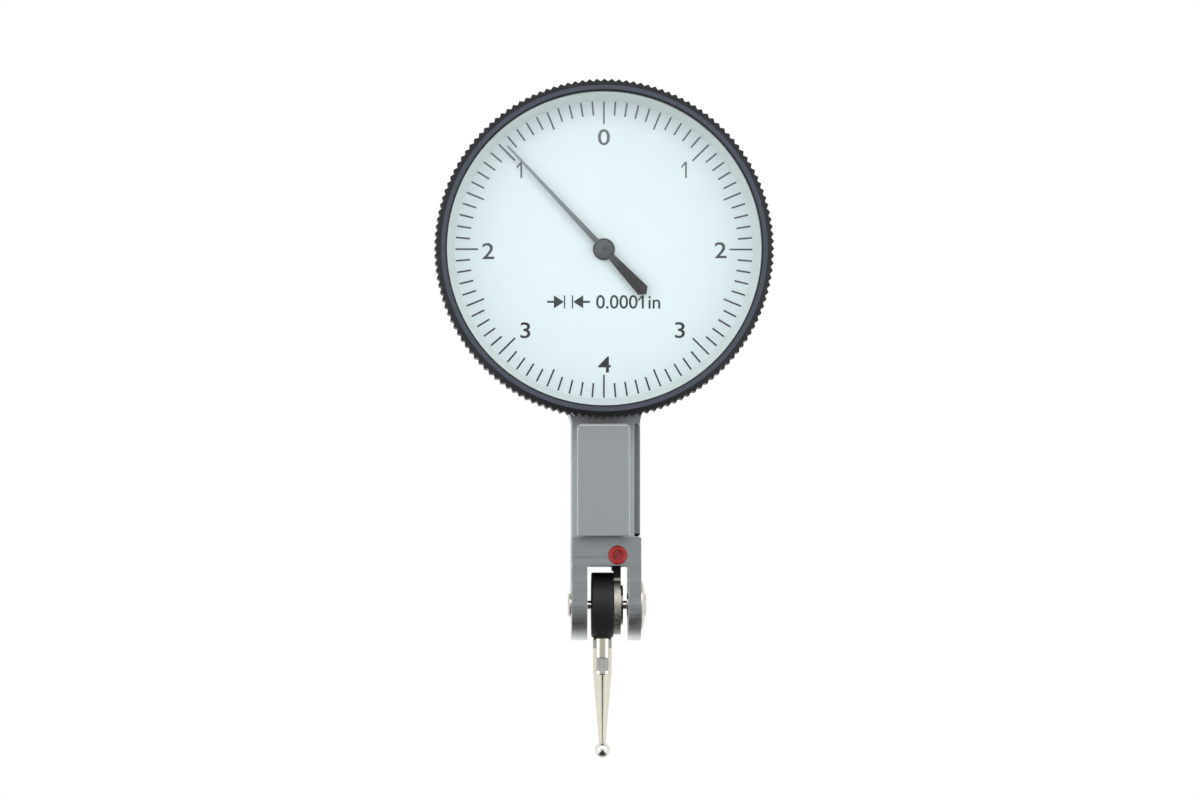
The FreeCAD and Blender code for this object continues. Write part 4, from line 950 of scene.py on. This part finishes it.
# ---- dial
def tick_tree():
    """Graduation lines round a circle in the XZ plane, longer at every fifth and every tenth."""
    tree = bpy.data.node_groups.new("graduation_lines", "GeometryNodeTree")
    tree.interface.new_socket("Geometry", in_out="OUTPUT", socket_type="NodeSocketGeometry")
    for kind, label in (
        ("NodeSocketInt", "Count"),
        ("NodeSocketFloat", "Radius"),
        ("NodeSocketFloat", "Short"),
        ("NodeSocketFloat", "Medium"),
        ("NodeSocketFloat", "Long"),
        ("NodeSocketFloat", "Width"),
        ("NodeSocketFloat", "Thickness"),
        ("NodeSocketMaterial", "Material"),
    ):
        tree.interface.new_socket(label, in_out="INPUT", socket_type=kind)
    start, end = tree.nodes.new("NodeGroupInput"), tree.nodes.new("NodeGroupOutput")
    value = start.outputs
    index = add(tree, "GeometryNodeInputIndex").outputs[0]

    def maths(operation, *numbers):
        return add(tree, "ShaderNodeMath", dict(enumerate(numbers)), operation=operation).outputs[0]

    def every(step):
        return maths("LESS_THAN", maths("MODULO", index, step), 0.5)

    def choose(mask, off, on):
        return add(tree, "ShaderNodeMix", {0: mask, 2: off, 3: on}).outputs[0]

    length = choose(every(10.0), choose(every(5.0), value["Short"], value["Medium"]), value["Long"])
    angle = maths("DIVIDE", maths("MULTIPLY", index, 2 * math.pi), value["Count"])
    reach = maths("SUBTRACT", value["Radius"], maths("MULTIPLY", length, 0.5))
    x, z = maths("MULTIPLY", reach, maths("SINE", angle)), maths("MULTIPLY", reach, maths("COSINE", angle))
    place_at = add(tree, "ShaderNodeCombineXYZ", {"X": x, "Z": z}).outputs[0]
    turn = add(tree, "ShaderNodeCombineXYZ", {"Y": angle}).outputs[0]
    size = add(
        tree,
        "ShaderNodeCombineXYZ",
        {"X": value["Width"], "Y": value["Thickness"], "Z": length},
    ).outputs[0]
    points = add(tree, "GeometryNodePoints", {"Count": value["Count"], "Position": place_at})
    line = add(tree, "GeometryNodeMeshCube")
    lines = add(
        tree,
        "GeometryNodeInstanceOnPoints",
        {"Points": points.outputs[0], "Instance": line.outputs[0], "Rotation": turn, "Scale": size},
    )
    real = add(tree, "GeometryNodeRealizeInstances", {0: lines.outputs[0]})
    painted = add(
        tree,
        "GeometryNodeSetMaterial",
        {"Geometry": real.outputs[0], "Material": value["Material"]},
    )
    tree.links.new(painted.outputs[0], end.inputs[0])
    return tree


def set_inputs(modifier, values):
    """Sets a Geometry Nodes modifier's inputs, given by their names."""
    for item in modifier.node_group.interface.items_tree:
        if item.item_type == "SOCKET" and item.in_out == "INPUT" and item.name in values:
            modifier[item.identifier] = values[item.name]


def print_material():
    if "dial_print" not in bpy.data.materials:
        dial = bpy.context.scene.indicator.dial
        ink = finish(
            "dial_print",
            dial.print_colour,
            metallic=0.0,
            roughness=0.6,
            bump=0.05,
            edge=0.005 * MM,
            specular=0.2,
        )
        tree = ink.node_tree
        # painted light: the print greys towards the top of the dial
        low, high = DIAL_CENTRE.z - 8 * MM, DIAL_CENTRE.z + 16 * MM
        height = axis_value(tree, 2)
        lighter_upward = add(
            tree,
            "ShaderNodeMapRange",
            {"Value": height, "From Min": low, "From Max": high},
        ).outputs[0]
        tint(ink, lighter_upward, (0.15, 0.16, 0.17))
    return bpy.data.materials["dial_print"]


def graduation_lines():
    dial = bpy.context.scene.indicator.dial
    holder = new_object("dial_lines_rule", bpy.data.meshes.new("dial_lines_rule"))
    holder.location = DIAL_CENTRE.x, DIAL_FACE - dial.print_thickness / 2, DIAL_CENTRE.z
    modifier = holder.modifiers.new("lines", "NODES")
    modifier.node_group = tick_tree()
    set_inputs(
        modifier,
        {
            "Count": dial.divisions,
            "Radius": dial.scale_radius,
            "Short": dial.short_line,
            "Medium": dial.medium_line,
            "Long": dial.long_line,
            "Width": dial.line_width,
            "Thickness": dial.print_thickness,
            "Material": print_material(),
        },
    )
    piece = as_mesh(holder, "dial_lines")
    give(piece, print_material(), "bezel", "dial_white")


def lettering(name, text, x, z, height, width=None):
    """Flat letters or figures on the dial, centred at x and z from its middle."""
    dial = bpy.context.scene.indicator.dial
    curve = bpy.data.curves.new(name, "FONT")
    curve.body = text
    curve.size = 1.0
    curve.offset = 0.008
    curve.resolution_u = 6
    holder = new_object(name + "_text", curve)
    piece = as_mesh(holder, name)
    xs, ys = [v.co.x for v in piece.data.vertices], [v.co.y for v in piece.data.vertices]
    scale_y = height / (max(ys) - min(ys))
    scale_x = width / (max(xs) - min(xs)) if width else scale_y * FIGURE_BREADTH
    shift = Vector((-(max(xs) + min(xs)) / 2, -(max(ys) + min(ys)) / 2, 0))
    upright = Matrix(((1, 0, 0), (0, 0, -1), (0, 1, 0))).to_4x4()
    spot = Vector((DIAL_CENTRE.x + x, DIAL_FACE - dial.print_thickness, DIAL_CENTRE.z + z))
    sized = Matrix.Diagonal((scale_x, scale_y, 1, 1)) @ Matrix.Translation(shift)
    piece.data.transform(Matrix.Translation(spot) @ upright @ sized)
    give(piece, print_material(), "bezel", "dial_white")
    return piece


def numerals():
    """0 to 4 down both sides, at (x, z) places in millimetres from the dial's middle."""
    height = bpy.context.scene.indicator.dial.numeral_height
    for text, side, x, z in (
        ("0", "right", 0.0, 13.24),
        ("1", "left", -9.95, 9.35),
        ("1", "right", 9.48, 9.41),
        ("2", "left", -13.64, -0.22),
        ("2", "right", 13.76, -0.08),
        ("3", "left", -9.26, -9.56),
        ("3", "right", 8.96, -9.52),
        ("4", "right", 0.07, -13.58),
    ):
        name = f"numeral_{text}_{side}"
        if text == "1":
            flat_piece(name, figure_one(x + 0.2, z, height / MM))
        else:
            lettering(name, text, x * MM, z * MM, height)


def figure_one(x, z, height):
    """A stem at x with a flag down to the left of its top, as flat outlines in millimetres."""
    top, foot, half, flag = z + height / 2, z - height / 2, 0.1, 0.55
    stem = box_outline(x - half, x + half, foot, top)
    slope = [(x - half, top), (x - flag, top - flag), (x - flag, top - flag - 0.24), (x - half, top - 0.3)]
    return [stem, sorted_outline(slope)]


def flat_piece(name, outlines):
    """Flat print from (x, z) outlines in millimetres from the dial's middle."""
    dial = bpy.context.scene.indicator.dial
    work = bmesh.new()
    y = DIAL_FACE - dial.print_thickness
    for outline in outlines:
        corners = [work.verts.new((DIAL_CENTRE.x + x * MM, y, DIAL_CENTRE.z + z * MM)) for x, z in outline]
        work.faces.new(corners)
    mesh = bpy.data.meshes.new(name)
    work.to_mesh(mesh)
    work.free()
    piece = new_object(name, mesh)
    give(piece, print_material(), "bezel", "dial_white")


def division_sign():
    """Two arrows pointing at two bars: the width of one division."""
    z, half, bar, line = -6.2, 0.78, 0.15, 0.12
    outlines = []
    for tip, side in ((-4.72, 1), (-3.62, -1)):
        base, tail = tip - side * 1.18, tip - side * 1.98
        outlines.append(sorted_outline([(tip, z), (base, z + half), (base, z - half)]))
        outlines.append(box_outline(tip, tip + side * bar, z - half, z + half))
        outlines.append(box_outline(tail, base, z - line, z + line))
    tall, wide, text_x, one_x = 1.62, 7.55, 2.86, 4.56
    outlines.append(figure_one(one_x, z, tall)[1])
    flat_piece("division_sign", outlines)
    lettering("division_value", "0.0001in", text_x * MM, z * MM, tall * MM, wide * MM)


def box_outline(x0, x1, z0, z1):
    x0, x1 = sorted((x0, x1))
    return [(x0, z0), (x1, z0), (x1, z1), (x0, z1)]


def sorted_outline(points):
    """Corners in the order that faces the front."""
    middle_x = sum(x for x, z in points) / len(points)
    middle_z = sum(z for x, z in points) / len(points)
    return sorted(points, key=lambda p: math.atan2(p[1] - middle_z, p[0] - middle_x))


# ---- operators
class INDICATOR_OT_stage(bpy.types.Operator):
    """Floor, backdrop, soft lamps, surroundings and camera"""

    bl_idname = "indicator.stage"
    bl_label = "Stage"

    def execute(self, context):
        stage = context.scene.indicator.stage
        floor_and_backdrop(stage)
        surroundings(context.scene)
        lamps(stage)
        camera(context.scene, stage)
        return {"FINISHED"}


def plain_white(name):
    """A pale surface, pure white to the camera; reflections see it dark in front of the object."""
    material = bpy.data.materials.new(name)
    material.use_nodes = True
    tree = material.node_tree
    tree.nodes.clear()
    output = tree.nodes.new("ShaderNodeOutputMaterial")
    matt = add(tree, "ShaderNodeBsdfDiffuse", {"Color": (0.85, 0.85, 0.85, 1)})
    white = add(tree, "ShaderNodeEmission", {"Color": (1, 1, 1, 1), "Strength": 1.0})
    path = tree.nodes.new("ShaderNodeLightPath")
    seen = add(
        tree,
        "ShaderNodeMath",
        {0: path.outputs["Is Camera Ray"], 1: path.outputs["Is Transmission Ray"]},
        operation="MAXIMUM",
    )
    seen = add(
        tree,
        "ShaderNodeMath",
        {0: seen.outputs[0], 1: path.outputs["Is Glossy Ray"]},
        operation="MAXIMUM",
    )
    behind = add(
        tree,
        "ShaderNodeMapRange",
        {"Value": axis_value(tree, 1), "From Min": -0.02, "From Max": 0.06, "To Min": 0.05, "To Max": 1.0},
    )
    beside = band(tree, axis_value(tree, 0), -0.06, 0.06, 0.04)
    dark = times(tree, beside, path.outputs["Is Glossy Ray"])
    glow = add(tree, "ShaderNodeMix", {0: dark, 2: 1.0, 3: behind.outputs[0]})
    tree.links.new(glow.outputs[0], white.inputs["Strength"])
    mixed = add(tree, "ShaderNodeMixShader", {0: seen.outputs[0], 1: matt.outputs[0], 2: white.outputs[0]})
    tree.links.new(mixed.outputs[0], output.inputs["Surface"])
    return material


def sheet(name, corners, material):
    mesh = bpy.data.meshes.new(name)
    mesh.from_pydata(corners, [], [range(len(corners))])
    mesh.materials.append(material)
    piece = new_object(name, mesh)


def floor_and_backdrop(stage):
    low = CAD_BOX[0][2] - stage.floor_drop
    wide, back, front, tall = 1.6, 0.9, -0.5, 1.4
    material = plain_white("studio_white")
    sheet("floor", [(-wide, front, low), (wide, front, low), (wide, back, low), (-wide, back, low)], material)
    sheet(
        "backdrop",
        [(-wide, back, low), (wide, back, low), (wide, back, tall), (-wide, back, tall)],
        material,
    )


def surroundings(scene):
    """Pale all round but for a column in front: grey at eye level and dark below."""
    world = scene.world or bpy.data.worlds.new("studio")
    scene.world = world
    world.use_nodes = True
    tree = world.node_tree
    tree.nodes.clear()
    output = tree.nodes.new("ShaderNodeOutputWorld")
    direction = tree.nodes.new("ShaderNodeTexCoord").outputs["Generated"]
    parts = add(tree, "ShaderNodeSeparateXYZ", {0: direction})
    height = add(tree, "ShaderNodeMapRange", {"Value": parts.outputs[2], "From Min": -1.0}).outputs[0]
    ramp = add(tree, "ShaderNodeValToRGB", {0: height})
    steps = ((0.0, 0.03), (0.3, 0.03), (0.42, 0.14), (0.48, 0.42), (0.515, 0.62), (0.58, 0.92), (1.0, 0.6))
    elements = ramp.color_ramp.elements
    while len(elements) < len(steps):
        elements.new(0.5)
    for element, (spot, level) in zip(elements, steps):
        element.position = spot
        element.color = (level, level, level, 1)
    column = band(tree, parts.outputs[0], -0.55, 0.55, 0.2)
    in_front = add(
        tree,
        "ShaderNodeMapRange",
        {"Value": parts.outputs[1], "From Min": 0.05, "From Max": -0.1},
        interpolation_type="SMOOTHSTEP",
    )
    level = add(
        tree,
        "ShaderNodeMix",
        {0: times(tree, column, in_front.outputs[0]), 2: SURROUND_LEVEL, 3: ramp.outputs[0]},
    )
    level = level.outputs[0]
    path = tree.nodes.new("ShaderNodeLightPath")
    strength = add(tree, "ShaderNodeMix", {0: path.outputs["Is Camera Ray"], 2: level, 3: 1.0})
    light = add(tree, "ShaderNodeBackground", {"Color": (1, 1, 1, 1), "Strength": strength.outputs[0]})
    tree.links.new(light.outputs[0], output.inputs["Surface"])


def lamp(name, spot, target, width, height, power):
    light = bpy.data.lights.new(name, "AREA")
    light.shape = "RECTANGLE"
    light.size, light.size_y = width, height
    light.energy = power
    holder = bpy.data.objects.new(name, light)
    holder.location = spot
    holder.rotation_euler = (Vector(target) - Vector(spot)).to_track_quat("-Z", "Y").to_euler()
    bpy.context.scene.collection.objects.link(holder)


def lamps(stage):
    target = (0.0, -0.01, 0.01)
    lamp("soft_box_above", (0.0, -0.62, 0.46), target, 0.9, 0.4, stage.above_power)
    lamp("soft_box_left", (-0.62, -0.45, 0.08), target, 0.35, 0.5, stage.side_power)
    lamp("soft_box_right", (0.62, -0.45, 0.08), target, 0.35, 0.5, stage.side_power)


def camera(scene, stage):
    low, high = Vector(CAD_BOX[0]), Vector(CAD_BOX[1])
    target = Vector((stage.aim_across, (low.y + high.y) / 2, low.z + stage.aim_height))
    across = Vector((math.sin(stage.azimuth), -math.cos(stage.azimuth), 0)) * math.cos(stage.elevation)
    spot = target + stage.distance * (across + Vector((0, 0, math.sin(stage.elevation))))
    data = bpy.data.cameras.new("camera")
    data.sensor_width = 36.0
    data.lens = 36.0 * stage.distance / stage.field
    data.clip_end = 10.0
    holder = bpy.data.objects.new("camera", data)
    holder.location = spot
    holder.rotation_euler = (target - spot).to_track_quat("-Z", "Y").to_euler()
    scene.collection.objects.link(holder)
    scene.camera = holder
    scene.view_settings.view_transform = "Standard"


class INDICATOR_OT_dial(bpy.types.Operator):
    """Dial, its graduation, numerals and signs, and the sloped ring round it"""

    bl_idname = "indicator.dial"
    bl_label = "Dial"

    def execute(self, context):
        dress("dial_plate", "dial_ring")
        graduation_lines()
        numerals()
        division_sign()
        return {"FINISHED"}


class INDICATOR_OT_bezel(bpy.types.Operator):
    """Knurled bezel, its glass, seal and spring"""

    bl_idname = "indicator.bezel"
    bl_label = "Bezel and glass"

    def execute(self, context):
        dress("bezel_ring", "crystal", "crystal_seal", "bezel_spring")
        return {"FINISHED"}


class INDICATOR_OT_body(bpy.types.Operator):
    """Body with its rails and fork, and the side cover"""

    bl_idname = "indicator.body"
    bl_label = "Body"

    def execute(self, context):
        dress("body_frame", "side_cover", "side_cover_screws")
        return {"FINISHED"}


class INDICATOR_OT_pointer(bpy.types.Operator):
    """Pointer, its arbor and the hairspring"""

    bl_idname = "indicator.pointer"
    bl_label = "Pointer"

    def execute(self, context):
        dress("pointer", "centre_arbor", "hairspring_collet", "hairspring", "hairspring_stud")
        return {"FINISHED"}


class INDICATOR_OT_movement(bpy.types.Operator):
    """Plate, cocks, jewels, crown wheel and sector lever"""

    bl_idname = "indicator.movement"
    bl_label = "Movement"

    def execute(self, context):
        dress(
            "movement_plate",
            "movement_plate_screws",
            "crown_cock_left",
            "crown_cock_right",
            "centre_cock",
            "cock_screws",
            "centre_jewels",
            "crown_jewels",
            "sector_bushes",
            "crown_wheel",
            "crown_arbor",
            "sector_lever",
            "sector_arbor",
        )
        return {"FINISHED"}


class INDICATOR_OT_pivot(bpy.types.Operator):
    """Contact lever, axle, washer, pivot screws, lock ring and the lacquered stop screw"""

    bl_idname = "indicator.pivot"
    bl_label = "Pivot"

    def execute(self, context):
        dress(
            "contact_lever",
            "drive_pins",
            "pivot_axle",
            "friction_washer",
            "pivot_screw_left",
            "pivot_screw_right",
            "pivot_lock_ring",
            "lever_stop_screw",
        )
        return {"FINISHED"}


class INDICATOR_OT_contact(bpy.types.Operator):
    """Swivel hub, contact and ball"""

    bl_idname = "indicator.contact"
    bl_label = "Contact"

    def execute(self, context):
        dress("swivel_hub", "contact_shank", "contact_ball")
        return {"FINISHED"}


class INDICATOR_PT_panel(bpy.types.Panel):
    """Lists the pieces of the indicator"""

    bl_idname = "INDICATOR_PT_panel"
    bl_label = "Dial test indicator"
    bl_space_type = "VIEW_3D"
    bl_region_type = "UI"
    bl_category = "Indicator"

    def draw(self, context):
        settings = context.scene.indicator
        for operator in OPERATORS:
            self.layout.operator(operator.bl_idname)
        for part in (settings.dial, settings.metal, settings.stage):
            box = self.layout.box()
            for name in part.__annotations__:
                box.prop(part, name)


OPERATORS = (
    INDICATOR_OT_stage,
    INDICATOR_OT_body,
    INDICATOR_OT_bezel,
    INDICATOR_OT_dial,
    INDICATOR_OT_pointer,
    INDICATOR_OT_movement,
    INDICATOR_OT_pivot,
    INDICATOR_OT_contact,
)
CLASSES = (DialSettings, MetalSettings, StageSettings, IndicatorSettings, *OPERATORS, INDICATOR_PT_panel)


def register():
    for item in CLASSES:
        bpy.utils.register_class(item)
    bpy.types.Scene.indicator = PointerProperty(type=IndicatorSettings)


def unregister():
    del bpy.types.Scene.indicator
    for item in reversed(CLASSES):
        bpy.utils.unregister_class(item)


def main():
    register()
    bpy.ops.indicator.stage()
    bpy.ops.indicator.body()
    bpy.ops.indicator.bezel()
    bpy.ops.indicator.dial()
    bpy.ops.indicator.pointer()
    bpy.ops.indicator.movement()
    bpy.ops.indicator.pivot()
    bpy.ops.indicator.contact()


if __name__ == "__main__":
    main()
